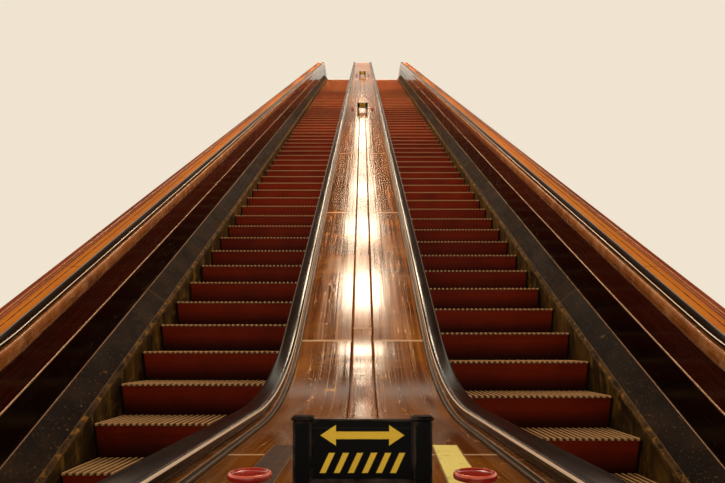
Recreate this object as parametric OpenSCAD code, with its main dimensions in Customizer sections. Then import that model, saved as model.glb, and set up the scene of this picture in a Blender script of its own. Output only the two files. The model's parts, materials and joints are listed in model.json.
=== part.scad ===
// Twin escalator with wooden steps: two flights side by side, a shared centre balustrade deck,
// outer balustrades, and the closed housing that carries both flights between two bearings.
// Millimetres, +Z up, +Y up the flights, +X to the right seen from the lower landing.
// The origin is on the seat face of the lower bearing bracket, midway across the machine.

/* [Flights] */
// Width of a step
step_w = 1016; // [600:1:1100]
// Distance along the incline from one step nosing to the next
step_pitch = 406; // [390:1:420]
// Angle of the incline to the level
incline = 30; // [27:0.5:33]
// Step pitches between the lower bend and the upper bend
incline_steps = 64; // [50:1:70]
// Level run from the lower bend to the lower newels
lower_level = 1500; // [1300:10:2200]
// Level run from the upper bend to the upper newels
upper_level = 1500; // [1300:10:2200]
// Radius of the bends in the line of the step nosings
nosing_bend_r = 1500; // [1200:10:2000]
// Width of the wooden deck between the two flights
centre_deck_w = 594; // [450:1:800]

/* [Steps] */
// Gap between the back of a tread and the next step on the level
tread_gap = 3; // [2:0.5:6]
// Gap between a step and the skirt beside it
side_gap = 3; // [2:0.5:5]
// Clearance of a riser's foot behind the tread below it
riser_clear = 2.6; // [2:0.1:5]
// Run of the chamfer under the riser's foot
toe_run = 21; // [10:1:40]
// Drop of the chamfer under the riser's foot
toe_drop = 12; // [5:1:25]
// Distance of the left flight's first nosing from the lower newels
left_start = 277; // [10:1:400]
// Distance of the right flight's first nosing from the lower newels
right_start = 145; // [10:1:400]
// Running clearance between the steps and the track below them
track_clear = 0.4; // [0.3:0.05:0.6]

/* [Balustrade] */
// Height of the skirt's top over the nosing line, square to the incline
skirt_top = 33; // [20:1:60]
// Thickness of the skirt plate
skirt_t = 8; // [5:0.5:12]
// Width of the sloping skirt deck, from the skirt to the panels
band_w = 144; // [100:1:200]
// Rise of the sloping skirt deck
band_rise = 145; // [80:1:180]
// Thickness of the skirt deck plate
band_t = 8; // [5:0.5:12]
// Height of the black lower panel
lower_panel_h = 217; // [150:1:260]
// Height of the red-brown upper panel
upper_panel_h = 173; // [120:1:220]
// Thickness of the panels
panel_t = 12; // [8:0.5:14]
// Height of the metal bead over the joint of the panels
bead_h = 12; // [8:1:20]
// Thickness of the metal bead
bead_t = 5; // [3:0.5:8]
// Height of the wooden moulding under the handrail
moulding_h = 77; // [60:1:100]
// How far the moulding bulges past the panels
moulding_bulge = 9; // [4:0.5:14]

/* [Handrail] */
// Width of the handrail
rail_w = 70; // [60:1:84]
// Height of the handrail
rail_h = 28; // [20:1:36]
// Width of the guide that the handrail runs on
guide_w = 36; // [24:1:44]
// Height of the guide over the moulding
guide_h = 5; // [3:0.5:8]
// Distance of the handrail's centre from the face of the panels
rail_inset = 37; // [35:1:50]
// Gap between the handrail and the edge of the deck
rail_deck_gap = 17; // [10:1:30]
// Extra height of the handrail on the level
level_extra = 82; // [40:1:110]
// Radius of the bends in the line of the handrail
rail_bend_r = 2200; // [1800:10:2800]

/* [Decks] */
// Depth of the deck below the top of the moulding
deck_drop = 5; // [2:0.5:9]
// Thickness of the deck boards
deck_t = 22; // [16:1:30]
// Width of the narrow board along the middle of the centre deck
centre_strip_w = 102; // [60:1:160]
// Gap between two deck boards
board_gap = 0.5; // [0.3:0.1:0.9]
// Width that a deck board bears on its ledge
ledge_w = 15; // [10:1:25]
// Thickness of the bearer under the narrow middle board
bearer_t = 18; // [12:1:40]
// Width of the outer deck board
outer_board_w = 111; // [80:1:200]
// Width of the trim along the wall side
trim_w = 70; // [40:1:100]
// Height of the trim over the outer deck board
trim_rise = 10; // [4:1:20]
// Thickness of the side cladding
cladding_t = 20; // [8:1:30]

/* [Newels] */
// Radius of the round end of the deck at each newel
newel_r = 270; // [200:5:320]
// Straight run between the deck's end and the centre of the round end
newel_run = 150; // [60:5:250]

/* [Landings and housing] */
// Height of the landing floor over the level treads
floor_rise = 8; // [5:0.5:12]
// Thickness of the floor plate
floor_t = 25; // [15:1:40]
// Length of the comb plate
comb_len = 400; // [380:5:500]
// Length of the comb plate behind the newels' inner face
comb_seat = 100; // [60:5:130]
// Gap between the comb plate and the treads that pass under it
comb_clear = 3; // [2:0.5:4]
// Length of the taper at the comb plate's front
comb_taper = 40; // [20:1:80]
// Thickness of the comb plate's front edge
comb_edge = 1; // [0.5:0.5:2]
// Gap around the comb plate
comb_gap = 0.3; // [0.3:0.1:0.8]
// Thickness of the bed that the steps run on, at the bends
bed_t = 100; // [90:5:200]
// Height of the housing below the bed
housing_h = 1000; // [600:10:1500]
// Length of the lower machine box, beyond the newels' inner face
lower_box_len = 1100; // [800:10:2000]
// Length of the upper machine box, beyond the newels' inner face
upper_box_len = 1900; // [800:10:2500]
// How far the bearing brackets reach past the housing
bracket_len = 150; // [80:5:250]
// Thickness of the bearing brackets
bracket_t = 40; // [20:1:60]
// Width of the bearing brackets
bracket_w = 3600; // [2500:10:3700]
// Depth of the bearing seat below the level treads
bearing_depth = 250; // [150:5:500]

/* [Signs and stop buttons] */
// Width of a sign over its posts
sign_w = 190; // [150:1:240]
// Height of a sign over the deck
sign_h = 141; // [110:1:200]
// Width of a sign post
post_w = 26; // [14:1:36]
// Thickness of a sign post
post_t = 22; // [14:1:36]
// Height of the board between the posts
board_h = 82; // [60:1:100]
// Thickness of the board between the posts
board_t = 10; // [5:1:16]
// Distance of the end signs from the newels' inner face
end_sign_inset = 126; // [80:1:400]
// Distance of the lower sign on the incline from the lower bend
first_sign_y = 8123; // [2000:1:9000]
// Distance between the two signs on the incline
sign_spacing = 7346; // [2000:1:8000]
// Distance of a stop button from the middle of the deck
button_x = 185; // [145:1:190]
// Distance of a stop button behind its sign
button_y = 150; // [70:1:200]
// Radius of a stop button's head
button_r = 36; // [25:0.5:40]
// Height of a stop button's head
button_h = 12; // [10:0.5:25]
// Radius of a stop button's stem
stem_r = 8; // [5:0.5:12]
// Radius of the collar that guides the stem
collar_r = 22; // [18:0.5:24]
// Height of the collar
collar_h = 9; // [9:0.5:22]
// Thickness of the collar's floor
collar_floor = 1; // [0.5:0.1:2]
// Running clearance of the stem in its collar
stem_clear = 0.3; // [0.3:0.05:0.5]
// How far a stop button can be pressed
press_travel = 5; // [3:0.5:6]
// Gap left under the head when it is pressed
head_clear = 5; // [5:0.5:8]
// Gap left under the stem when it is pressed
stem_end_clear = 0.6; // [0.4:0.1:1]

/* [Hidden] */
$fn = 48;
bend_facets = 8;
bed_facets = 16;
newel_facets = 12;
head_facets = 7;

// Rise and run of the incline between the two bends, and of one step on it
run = incline_steps * step_pitch * cos(incline);
rise = incline_steps * step_pitch * sin(incline);
step_run = step_pitch * cos(incline);
step_rise = step_pitch * sin(incline);
lower_join = -lower_level;
upper_join = run + upper_level;

// Heights over the nosing line, square to the incline
band_top = skirt_top + band_rise;
lower_panel_top = band_top + lower_panel_h;
upper_panel_top = lower_panel_top + upper_panel_h;
moulding_top = upper_panel_top + moulding_h;
guide_top = moulding_top + guide_h;
rail_top = guide_top + rail_h;
deck_top = moulding_top - deck_drop;
deck_bottom = deck_top - deck_t;
trim_top = deck_top + trim_rise;

// Distances from the middle of a flight
skirt_u = step_w / 2 + side_gap;
panel_u = skirt_u + band_w;
rail_u = panel_u + rail_inset;
deck_u = rail_u + rail_w / 2 + rail_deck_gap;

// Distances from the middle of the machine
flight_x = centre_deck_w / 2 + deck_u;
outer_deck_x = flight_x + deck_u;
trim_x = outer_deck_x + outer_board_w;
half_w = trim_x + trim_w;

// Place of the lower bend from the origin on the lower bearing
kink_y = lower_level + lower_box_len + bracket_len / 2;
tread_z = bearing_depth;

// One step in its side view, from its nosing
step_depth = step_pitch - tread_gap;
riser_foot_y = step_depth - step_run + riser_clear;
toe_y = riser_foot_y + toe_run;
toe_z = -step_rise - toe_drop;
step_back_z = toe_z + (step_depth - toe_y) * tan(incline);
bed_top_z = toe_z - track_clear;
housing_top_z = bed_top_z - bed_t;
housing_bottom_z = housing_top_z - housing_h;

// Places of the signs along the machine
sign_ys = [lower_join + end_sign_inset, first_sign_y, first_sign_y + sign_spacing,
  upper_join - end_sign_inset];

// Heights of the stop button over the deck
head_z = collar_h + press_travel + head_clear;
stem_z = collar_floor + stem_end_clear + press_travel;

// Level height, place of the bend and radius of the bend for a line that lies h over the nosings
function level_of(h) = h / cos(incline) + level_extra * h / rail_top;
function bend_y(h) = level_extra * h / rail_top / tan(incline);
function bend_r(h) = nosing_bend_r + (rail_bend_r - nosing_bend_r) * h / rail_top;

// The two bends of such a line with the incline between them, in side view
function bends(h, facets = bend_facets) =
  let (r = bend_r(h), t = r * tan(incline / 2), y0 = bend_y(h), z0 = level_of(h))
  concat(
    [for (i = [0:facets]) let (a = incline * i / facets)
      [y0 - t + r * sin(a), z0 + r * (1 - cos(a))]],
    [for (i = [facets:-1:0]) let (a = incline * i / facets)
      [run + y0 + t - r * sin(a), rise + z0 - r * (1 - cos(a))]]);

// The whole line from newel to newel
function line(h) = concat([[lower_join, level_of(h)]], bends(h), [[upper_join, rise + level_of(h)]]);

// Half circle round a newel for a line that lies h over the nosings: end -1 is the lower newel
function newel_centre(end) = end < 0 ? lower_join - newel_run : upper_join + newel_run;
function newel_level(end) = end < 0 ? 0 : rise;
function newel_arc(h, end) =
  let (r = level_of(h) - level_of(deck_top) + newel_r, y0 = newel_centre(end),
    z0 = newel_level(end) + level_of(deck_top) - newel_r)
  [for (i = [0:newel_facets]) let (a = 180 * i / newel_facets)
    [y0 + end * r * sin(a), z0 + r * cos(a)]];

function reversed(list) = [for (i = [len(list) - 1:-1:0]) list[i]];

// The line of the handrail: round the lower newel, up the flight and round the upper newel
function rail_line(h) = concat(reversed(newel_arc(h, -1)), line(h), newel_arc(h, 1));

// The line of the nosings by the distance s along it from the lower newels
function nosing_at(s) =
  let (r = nosing_bend_r, t = r * tan(incline / 2), level = lower_level - t,
    arc = r * incline * PI / 180, slope = run / cos(incline) - 2 * t, s1 = s - level,
    s2 = s1 - arc, s3 = s2 - slope, s4 = s3 - arc)
  s1 < 0 ? [lower_join + s, 0]
  : s2 < 0 ? let (a = s1 / r * 180 / PI) [-t + r * sin(a), r * (1 - cos(a))]
  : s3 < 0 ? [(t + s2) * cos(incline), (t + s2) * sin(incline)]
  : s4 < 0 ? let (a = incline - s3 / r * 180 / PI) [run + t - r * sin(a), rise - r * (1 - cos(a))]
  : [run + t + s4, rise];

// Straight line under both bends, at height z below the level treads
function straight_line(z) = [[lower_join, z], [toe_y, z], [toe_y + run, z + rise],
  [upper_join, z + rise]];

// Puts the machine's own frame, with its lower bend at zero, on the origin
module placed() {
  translate([0, kink_y, tread_z]) children();
}

module at_flight(side) {
  translate([side * flight_x, 0, 0]) children();
}

module both_sides() {
  children();
  mirror([1, 0, 0]) children();
}

// A side view given in Y and Z, drawn out from x0 to x1
module drawn_out(x0, x1, side_view) {
  translate([x0, 0, 0]) rotate([90, 0, 90]) linear_extrude(height = x1 - x0) polygon(side_view);
}

// A flat strip between two lines over the nosings, from x0 to x1
module strip(x0, x1, h0, h1) {
  drawn_out(x0, x1, concat(line(h0), reversed(line(h1))));
}

// A section given as [distance, height over the nosings], carried along rows of points
module carried(section, rows) {
  n = len(section);
  rings = len(rows[0]);
  points = [for (i = [0:rings - 1]) for (j = [0:n - 1]) [section[j][0], rows[j][i][0], rows[j][i][1]]];
  sides = [for (i = [0:rings - 2]) for (j = [0:n - 1]) for (half = [0, 1])
    let (a = i * n + j, b = i * n + (j + 1) % n, c = b + n, d = a + n)
    half == 0 ? [a, b, c] : [a, c, d]];
  polyhedron(points, concat(sides, [[for (j = [n - 1:-1:0]) j]],
    [[for (j = [0:n - 1]) (rings - 1) * n + j]]), convexity = 8);
}

module along_line(section) {
  carried(section, [for (p = section) line(p[1])]);
}

// Housing: closed boxes that hold the return of the steps and the drive
module lower_machine_box() {
  color("dimgray") placed() union() {
    translate([-half_w, lower_join - lower_box_len, housing_bottom_z])
      cube([2 * half_w, lower_box_len, floor_rise - floor_t - housing_bottom_z]);
    translate([-bracket_w / 2, lower_join - lower_box_len - bracket_len, -bearing_depth])
      cube([bracket_w, bracket_len, bracket_t]);
  }
}

module lower_housing() {
  color("dimgray") placed()
    drawn_out(-half_w + cladding_t, half_w - cladding_t, [[lower_join, housing_bottom_z],
      [toe_y, housing_bottom_z], [toe_y, housing_top_z], [lower_join, housing_top_z]]);
}

module incline_housing() {
  color("slategray") placed()
    drawn_out(-half_w + cladding_t, half_w - cladding_t, [[toe_y, housing_bottom_z],
      [toe_y + run, rise + housing_bottom_z], [toe_y + run, rise + housing_top_z],
      [toe_y, housing_top_z]]);
}

module upper_housing() {
  color("dimgray") placed()
    drawn_out(-half_w + cladding_t, half_w - cladding_t, [[toe_y + run, rise + housing_bottom_z],
      [upper_join, rise + housing_bottom_z], [upper_join, rise + housing_top_z],
      [toe_y + run, rise + housing_top_z]]);
}

module upper_machine_box() {
  color("dimgray") placed() translate([0, 0, rise]) union() {
    translate([-half_w, upper_join, housing_bottom_z])
      cube([2 * half_w, upper_box_len, floor_rise - floor_t - housing_bottom_z]);
    translate([-bracket_w / 2, upper_join + upper_box_len, -bearing_depth])
      cube([bracket_w, bracket_len, bracket_t]);
  }
}

module side_cladding() {
  color("gray") placed() both_sides() drawn_out(half_w - cladding_t, half_w,
    concat(straight_line(housing_bottom_z), reversed(line(deck_bottom))));
}

// Steps: the bed follows the path that the steps' toes take
module step_track() {
  toes = [for (p = bends(0, bed_facets)) p + [toe_y, bed_top_z]];
  top = concat([[lower_join, bed_top_z]], toes, [[upper_join, rise + bed_top_z]]);
  drawn_out(-step_w / 2, step_w / 2, concat(straight_line(housing_top_z), reversed(top)));
}

module step_tracks() {
  color("darkslategray") placed() {
    at_flight(-1) step_track();
    at_flight(1) step_track();
  }
}

module step() {
  drawn_out(-step_w / 2, step_w / 2, [[0, 0], [riser_foot_y, -step_rise], [toe_y, toe_z],
    [step_depth, step_back_z], [step_depth, 0]]);
}

module steps(start) {
  bend_arc = nosing_bend_r * (incline * PI / 180 - 2 * tan(incline / 2));
  whole = lower_level + upper_level + run / cos(incline) + 2 * bend_arc;
  for (s = [start:step_pitch:whole - step_pitch]) {
    at = nosing_at(s);
    translate([0, at[0], at[1]]) step();
  }
}

module left_steps() {
  color([0.52, 0.17, 0.07]) placed() at_flight(-1) steps(left_start);
}

module right_steps() {
  color([0.52, 0.17, 0.07]) placed() at_flight(1) steps(right_start);
}

// Landings: a floor plate with a pocket for the comb plate of each flight
module floor_plate(end, length) {
  y0 = end < 0 ? lower_join - length : upper_join;
  pocket_y = end < 0 ? lower_join - comb_seat : upper_join - floor_t;
  difference() {
    translate([-half_w, y0, floor_rise - floor_t]) cube([2 * half_w, length, floor_t]);
    for (side = [-1, 1]) at_flight(side)
      translate([-step_w / 2 - comb_gap, pocket_y, floor_rise - 2 * floor_t])
        cube([step_w + 2 * comb_gap, comb_seat + floor_t, 3 * floor_t]);
  }
}

module lower_floor_plate() {
  color("darkgray") placed() floor_plate(-1, lower_box_len);
}

module upper_floor_plate() {
  color("darkgray") placed() translate([0, 0, rise]) floor_plate(1, upper_box_len);
}

// Comb plate in side view, from the newels' inner face, its thin edge over the treads
module comb_plate() {
  tip = comb_len - comb_seat;
  drawn_out(-step_w / 2, step_w / 2, [[-comb_seat + comb_gap, floor_rise - floor_t],
    [-comb_gap, floor_rise - floor_t], [-comb_gap, comb_clear], [tip, comb_clear],
    [tip, comb_clear + comb_edge], [tip - comb_taper, floor_rise], [-comb_seat + comb_gap, floor_rise]]);
}

module lower_comb_plates() {
  color("silver") placed() for (side = [-1, 1])
    at_flight(side) translate([0, lower_join, 0]) comb_plate();
}

module upper_comb_plates() {
  color("silver") placed() for (side = [-1, 1])
    at_flight(side) translate([0, upper_join, rise]) mirror([0, 1, 0]) comb_plate();
}

// Balustrades: every piece stands on the one below it
module skirt() {
  drawn_out(skirt_u, skirt_u + skirt_t,
    concat(straight_line(housing_top_z), reversed(line(skirt_top))));
}

module skirt_deck() {
  along_line([[skirt_u, skirt_top], [skirt_u + skirt_t, skirt_top],
    [panel_u + panel_t, band_top - band_t], [panel_u + panel_t, band_top], [panel_u, band_top],
    [skirt_u, skirt_top + band_t]]);
}

module lower_panel() {
  strip(panel_u, panel_u + panel_t, band_top, lower_panel_top);
}

module bead() {
  strip(panel_u - bead_t, panel_u, lower_panel_top - bead_h / 2, lower_panel_top + bead_h / 2);
}

module upper_panel() {
  strip(panel_u, panel_u + panel_t, lower_panel_top, upper_panel_top);
}

// Moulding with its ledge for the deck board and the guide that the handrail runs on
module moulding() {
  bulge_u = panel_u - moulding_bulge;
  along_line([[panel_u, upper_panel_top], [deck_u + ledge_w, upper_panel_top],
    [deck_u + ledge_w, deck_bottom], [deck_u, deck_bottom], [deck_u, moulding_top],
    [rail_u + guide_w / 2, moulding_top], [rail_u + guide_w / 2, guide_top],
    [rail_u - guide_w / 2, guide_top], [rail_u - guide_w / 2, moulding_top],
    [panel_u - moulding_bulge / 2, moulding_top],
    [bulge_u, moulding_top - moulding_h / 6], [bulge_u, moulding_top - moulding_h / 2],
    [panel_u - moulding_bulge / 2, upper_panel_top + moulding_h / 5]]);
}

module handrail() {
  w = rail_w / 2;
  section = [[-w * 0.82, 0], [w * 0.82, 0], [w, 0.25], [w, 0.65], [w * 0.8, 0.9], [w * 0.35, 1],
    [-w * 0.35, 1], [-w * 0.8, 0.9], [-w, 0.65], [-w, 0.25]];
  placed_section = [for (p = section) [rail_u + p[0], guide_top + rail_h * p[1]]];
  carried(placed_section, [for (p = placed_section) rail_line(p[1])]);
}

module pair(side) {
  placed() at_flight(side) both_sides() children();
}

module left_skirts() {
  color([0.35, 0.25, 0.12]) pair(-1) skirt();
}

module right_skirts() {
  color([0.35, 0.25, 0.12]) pair(1) skirt();
}

module left_skirt_decks() {
  color([0.3, 0.26, 0.22]) pair(-1) skirt_deck();
}

module right_skirt_decks() {
  color([0.3, 0.26, 0.22]) pair(1) skirt_deck();
}

module left_lower_panels() {
  color([0.06, 0.05, 0.04]) pair(-1) lower_panel();
}

module right_lower_panels() {
  color([0.06, 0.05, 0.04]) pair(1) lower_panel();
}

module left_beads() {
  color([0.7, 0.62, 0.52]) pair(-1) bead();
}

module right_beads() {
  color([0.7, 0.62, 0.52]) pair(1) bead();
}

module left_upper_panels() {
  color([0.3, 0.08, 0.04]) pair(-1) upper_panel();
}

module right_upper_panels() {
  color([0.3, 0.08, 0.04]) pair(1) upper_panel();
}

module left_mouldings() {
  color([0.62, 0.36, 0.18]) pair(-1) moulding();
}

module right_mouldings() {
  color([0.62, 0.36, 0.18]) pair(1) moulding();
}

module left_outer_handrail() {
  color([0.08, 0.08, 0.08]) placed() at_flight(-1) mirror([1, 0, 0]) handrail();
}

module left_inner_handrail() {
  color([0.08, 0.08, 0.08]) placed() at_flight(-1) handrail();
}

module right_inner_handrail() {
  color([0.08, 0.08, 0.08]) placed() at_flight(1) mirror([1, 0, 0]) handrail();
}

module right_outer_handrail() {
  color([0.08, 0.08, 0.08]) placed() at_flight(1) handrail();
}

// Decks: boards that bear on the mouldings' ledges
module centre_deck() {
  color([0.6, 0.3, 0.12]) placed() both_sides()
    strip(centre_strip_w / 2 + board_gap, centre_deck_w / 2, deck_bottom, deck_top);
}

module centre_deck_strip() {
  color([0.55, 0.26, 0.1]) placed() union() {
    strip(-centre_strip_w / 2, centre_strip_w / 2, deck_bottom, deck_top);
    strip(-centre_strip_w / 2 - ledge_w, centre_strip_w / 2 + ledge_w, deck_bottom - bearer_t,
      deck_bottom);
  }
}

module outer_decks() {
  color([0.85, 0.42, 0.05]) placed() both_sides()
    strip(outer_deck_x, trim_x - board_gap, deck_bottom, deck_top);
}

module wall_trims() {
  color([0.5, 0.2, 0.08]) placed() both_sides() strip(trim_x, half_w, deck_bottom, trim_top);
}

// Newels: a round end on a straight foot, with the handrail's guide round it
module newel_block(x0, x1, h, end) {
  join = end < 0 ? lower_join : upper_join;
  foot = newel_level(end) + floor_rise;
  drawn_out(x0, x1, concat([[join, foot], [join, newel_level(end) + level_of(h)]],
    newel_arc(h, end), [[newel_centre(end), foot]]));
}

module newels(end) {
  rail_x = flight_x - rail_u;
  outer_rail_x = flight_x + rail_u;
  panel_x = flight_x - panel_u;
  outer_panel_x = flight_x + panel_u;
  union() {
    newel_block(-panel_x, panel_x, deck_top, end);
    for (side = [-1, 1])
      newel_block(side * rail_x - guide_w / 2, side * rail_x + guide_w / 2, guide_top, end);
  }
  both_sides() union() {
    newel_block(outer_panel_x, half_w, deck_top, end);
    newel_block(outer_rail_x - guide_w / 2, outer_rail_x + guide_w / 2, guide_top, end);
  }
}

module lower_newels() {
  color([0.42, 0.16, 0.07]) placed() newels(-1);
}

module upper_newels() {
  color([0.42, 0.16, 0.07]) placed() newels(1);
}

// Puts a piece on the centre deck at the sign number i, square to the deck there, offset along it
module on_deck(i, x, along) {
  end = i == 0 || i == len(sign_ys) - 1;
  tilt = end ? 0 : incline;
  z = i == 0 ? level_of(deck_top) : end ? rise + level_of(deck_top)
    : sign_ys[i] * tan(incline) + deck_top / cos(incline);
  placed() translate([x, sign_ys[i], z]) rotate([tilt, 0, 0]) translate([0, along, 0]) children();
}

// Sign: two square posts with a board between them
module stop_sign() {
  union() {
    for (side = [-1, 1])
      translate([side * (sign_w - post_w) / 2 - post_w / 2, -post_t / 2, 0])
        cube([post_w, post_t, sign_h]);
    translate([-sign_w / 2 + post_w / 2, -board_t / 2, sign_h - board_h - board_t / 2])
      cube([sign_w - post_w, board_t, board_h]);
  }
}

module stop_signs() {
  color([0.05, 0.05, 0.05]) for (i = [0:len(sign_ys) - 1]) on_deck(i, 0, 0) stop_sign();
}

module button_collar() {
  rotate_extrude() polygon([[0, 0], [collar_r, 0], [collar_r, collar_h],
    [stem_r + stem_clear, collar_h], [stem_r + stem_clear, collar_floor], [0, collar_floor]]);
}

module button_collars() {
  color("black") for (i = [0:len(sign_ys) - 1]) for (side = [-1, 1])
    on_deck(i, side * button_x, button_y) button_collar();
}

// Button: a domed head on a stem, its dome an arc in the side view
module stop_button(i, side) {
  rim = button_h / 3;
  dome = [for (k = [0:head_facets]) let (a = 90 * k / head_facets)
    [button_r * cos(a), head_z + rim + (button_h - rim) * sin(a)]];
  color([0.72, 0.1, 0.06]) on_deck(i, side * button_x, button_y)
    rotate_extrude() polygon(concat([[0, stem_z], [stem_r, stem_z], [stem_r, head_z],
      [button_r, head_z]], dome));
}

module stop_button_1_left() {
  stop_button(0, -1);
}

module stop_button_1_right() {
  stop_button(0, 1);
}

module stop_button_2_left() {
  stop_button(1, -1);
}

module stop_button_2_right() {
  stop_button(1, 1);
}

module stop_button_3_left() {
  stop_button(2, -1);
}

module stop_button_3_right() {
  stop_button(2, 1);
}

module stop_button_4_left() {
  stop_button(3, -1);
}

module stop_button_4_right() {
  stop_button(3, 1);
}

lower_machine_box();
lower_housing();
incline_housing();
upper_housing();
upper_machine_box();
side_cladding();
step_tracks();
left_steps();
right_steps();
lower_floor_plate();
upper_floor_plate();
lower_comb_plates();
upper_comb_plates();
left_skirts();
left_skirt_decks();
left_lower_panels();
left_beads();
left_upper_panels();
left_mouldings();
right_skirts();
right_skirt_decks();
right_lower_panels();
right_beads();
right_upper_panels();
right_mouldings();
left_outer_handrail();
left_inner_handrail();
right_inner_handrail();
right_outer_handrail();
centre_deck();
centre_deck_strip();
outer_decks();
wall_trims();
lower_newels();
upper_newels();
stop_signs();
button_collars();
stop_button_1_left();
stop_button_1_right();
stop_button_2_left();
stop_button_2_right();
stop_button_3_left();
stop_button_3_right();
stop_button_4_left();
stop_button_4_right();
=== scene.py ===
import json
from math import cos, pi, radians, sin, tan

import bpy
import numpy as np
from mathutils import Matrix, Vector

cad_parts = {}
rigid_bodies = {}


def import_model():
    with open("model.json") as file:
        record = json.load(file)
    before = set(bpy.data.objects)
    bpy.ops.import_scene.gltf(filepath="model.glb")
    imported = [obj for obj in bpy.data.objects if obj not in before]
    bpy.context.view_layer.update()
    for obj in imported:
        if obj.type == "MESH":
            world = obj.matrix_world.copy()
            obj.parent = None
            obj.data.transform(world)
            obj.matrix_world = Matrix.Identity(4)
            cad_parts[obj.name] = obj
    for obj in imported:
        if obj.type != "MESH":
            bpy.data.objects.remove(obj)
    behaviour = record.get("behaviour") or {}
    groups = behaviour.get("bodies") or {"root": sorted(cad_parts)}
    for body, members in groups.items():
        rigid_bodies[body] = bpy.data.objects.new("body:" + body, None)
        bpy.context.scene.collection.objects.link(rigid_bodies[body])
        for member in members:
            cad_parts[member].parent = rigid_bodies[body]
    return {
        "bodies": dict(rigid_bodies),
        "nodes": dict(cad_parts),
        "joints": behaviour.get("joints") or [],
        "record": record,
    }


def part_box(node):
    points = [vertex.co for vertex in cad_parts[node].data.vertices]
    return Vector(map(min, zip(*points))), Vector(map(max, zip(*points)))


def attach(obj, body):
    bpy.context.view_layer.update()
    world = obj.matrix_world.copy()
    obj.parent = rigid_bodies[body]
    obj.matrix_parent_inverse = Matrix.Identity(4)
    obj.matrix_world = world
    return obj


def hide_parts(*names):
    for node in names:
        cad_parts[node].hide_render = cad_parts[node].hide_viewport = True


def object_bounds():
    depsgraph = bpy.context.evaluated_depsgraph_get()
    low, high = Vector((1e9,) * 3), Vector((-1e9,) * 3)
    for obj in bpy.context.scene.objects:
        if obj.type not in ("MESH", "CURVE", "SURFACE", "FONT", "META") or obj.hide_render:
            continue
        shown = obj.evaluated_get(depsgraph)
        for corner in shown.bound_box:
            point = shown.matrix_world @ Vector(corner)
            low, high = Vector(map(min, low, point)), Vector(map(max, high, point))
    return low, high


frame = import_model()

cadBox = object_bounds()
chance = np.random.default_rng(11)
print("frame loaded:", len(frame["nodes"]), "nodes")

# Sizes of the machine, in metres and radians. Lines that run up the machine are named by their height over
# the step nosings, square to the incline, and places across a flight by their distance from its middle.
machine = {"incline": radians(30), "stepPitch": 0.406, "pitches": 64, "levelRun": 1.5, "noseBend": 1.5,
           "railBend": 2.2, "levelExtra": 0.082, "newelRadius": 0.27, "newelRun": 0.15,
           "floorRise": 0.008, "flightX": 1.041, "half": 1.966, "bottom": -1.3154,
           "landing": {-1: 1.1, 1: 1.9}, "railX": 0.692, "bendY": 0.075}
height = {"skirt": 0.033, "rail": 0.678, "deck": 0.640, "deckUnder": 0.618}

incline = machine["incline"]
run = machine["pitches"] * machine["stepPitch"] * cos(incline)
rise = machine["pitches"] * machine["stepPitch"] * sin(incline)
lowerJoin = -machine["levelRun"]
upperJoin = run + machine["levelRun"]
# The lower bend of the nosings is zero in the machine's own places; home moves them into the frame
home = np.array([0.0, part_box("left_skirts")[0][1] + machine["levelRun"],
                 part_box("lower_floor_plate")[1][2] - machine["floorRise"]])


# Level height of the line that lies h over the nosings
def levelOf(h):
    return h / cos(incline) + machine["levelExtra"] * h / height["rail"]


# Point and slope of the line h at the distance s along it: a level run, an arc, the straight incline,
# an arc back and a level run. The arc's radius and its corner both grow with h.
def lineAt(h, s):
    share = h / height["rail"]
    radius = machine["noseBend"] + (machine["railBend"] - machine["noseBend"]) * share
    tangent = radius * tan(incline / 2)
    cornerY = machine["levelExtra"] * share / tan(incline)
    firstArc = cornerY - tangent - lowerJoin
    slope = firstArc + radius * incline
    secondArc = slope + run / cos(incline) - 2 * tangent
    lastLevel = secondArc + radius * incline
    turned = np.clip((s - firstArc) / radius, 0, incline)
    back = np.clip((s - secondArc) / radius, 0, incline)
    climbed = np.clip(s - slope, 0, secondArc - slope)
    y = (lowerJoin + np.minimum(s, firstArc) + radius * np.sin(turned) + climbed * cos(incline)
         + radius * (sin(incline) - np.sin(incline - back)) + np.maximum(s - lastLevel, 0))
    z = (levelOf(h) + radius * (1 - np.cos(turned)) + climbed * sin(incline)
         + radius * (np.cos(incline - back) - cos(incline)))
    return y, z, turned - back


# Sections stand square to the deck's line. Their stations are distances along that line.
def deckStation(y):
    s = np.linspace(0, 32, 6401)
    return float(np.interp(y, lineAt(height["deck"], s)[0], s))


deckLength = deckStation(upperJoin)
bendStart, bendEnd = deckStation(-0.45), deckStation(0.96)
topBendStart, topBendEnd = deckStation(run - 0.75), deckStation(run + 0.72)


# Stations from start to end, close together in the bends and far apart between them
def stationsFrom(start, end, fine=0.06, coarse=0.5):
    marks = [np.arange(bendStart - 0.25, bendEnd + 0.15, fine),
             np.arange(bendEnd + 0.4, topBendStart - 0.7, coarse),
             np.arange(topBendStart - 0.6, topBendEnd + 0.25, fine)]
    marks = np.concatenate(marks)
    return marks[(marks > start + 0.03) & (marks < end - 0.03)]


# Where each line h meets the plane square to the deck's line at each station, by Newton's steps
def sectionPlaces(h, stations, tries=7):
    h = np.asarray(h, float)[None, :] + np.zeros((len(stations), 1))
    w = np.asarray(stations, float)[:, None]
    planeY, planeZ, planeSlope = lineAt(height["deck"], w)
    s = w + 0 * h
    for _ in range(tries):
        y, z, slope = lineAt(h, s)
        gap = (y - planeY) * np.cos(planeSlope) + (z - planeZ) * np.sin(planeSlope)
        s = s - gap / np.cos(slope - planeSlope)
    y, z, slope = lineAt(h, s)
    return y, z


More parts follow.
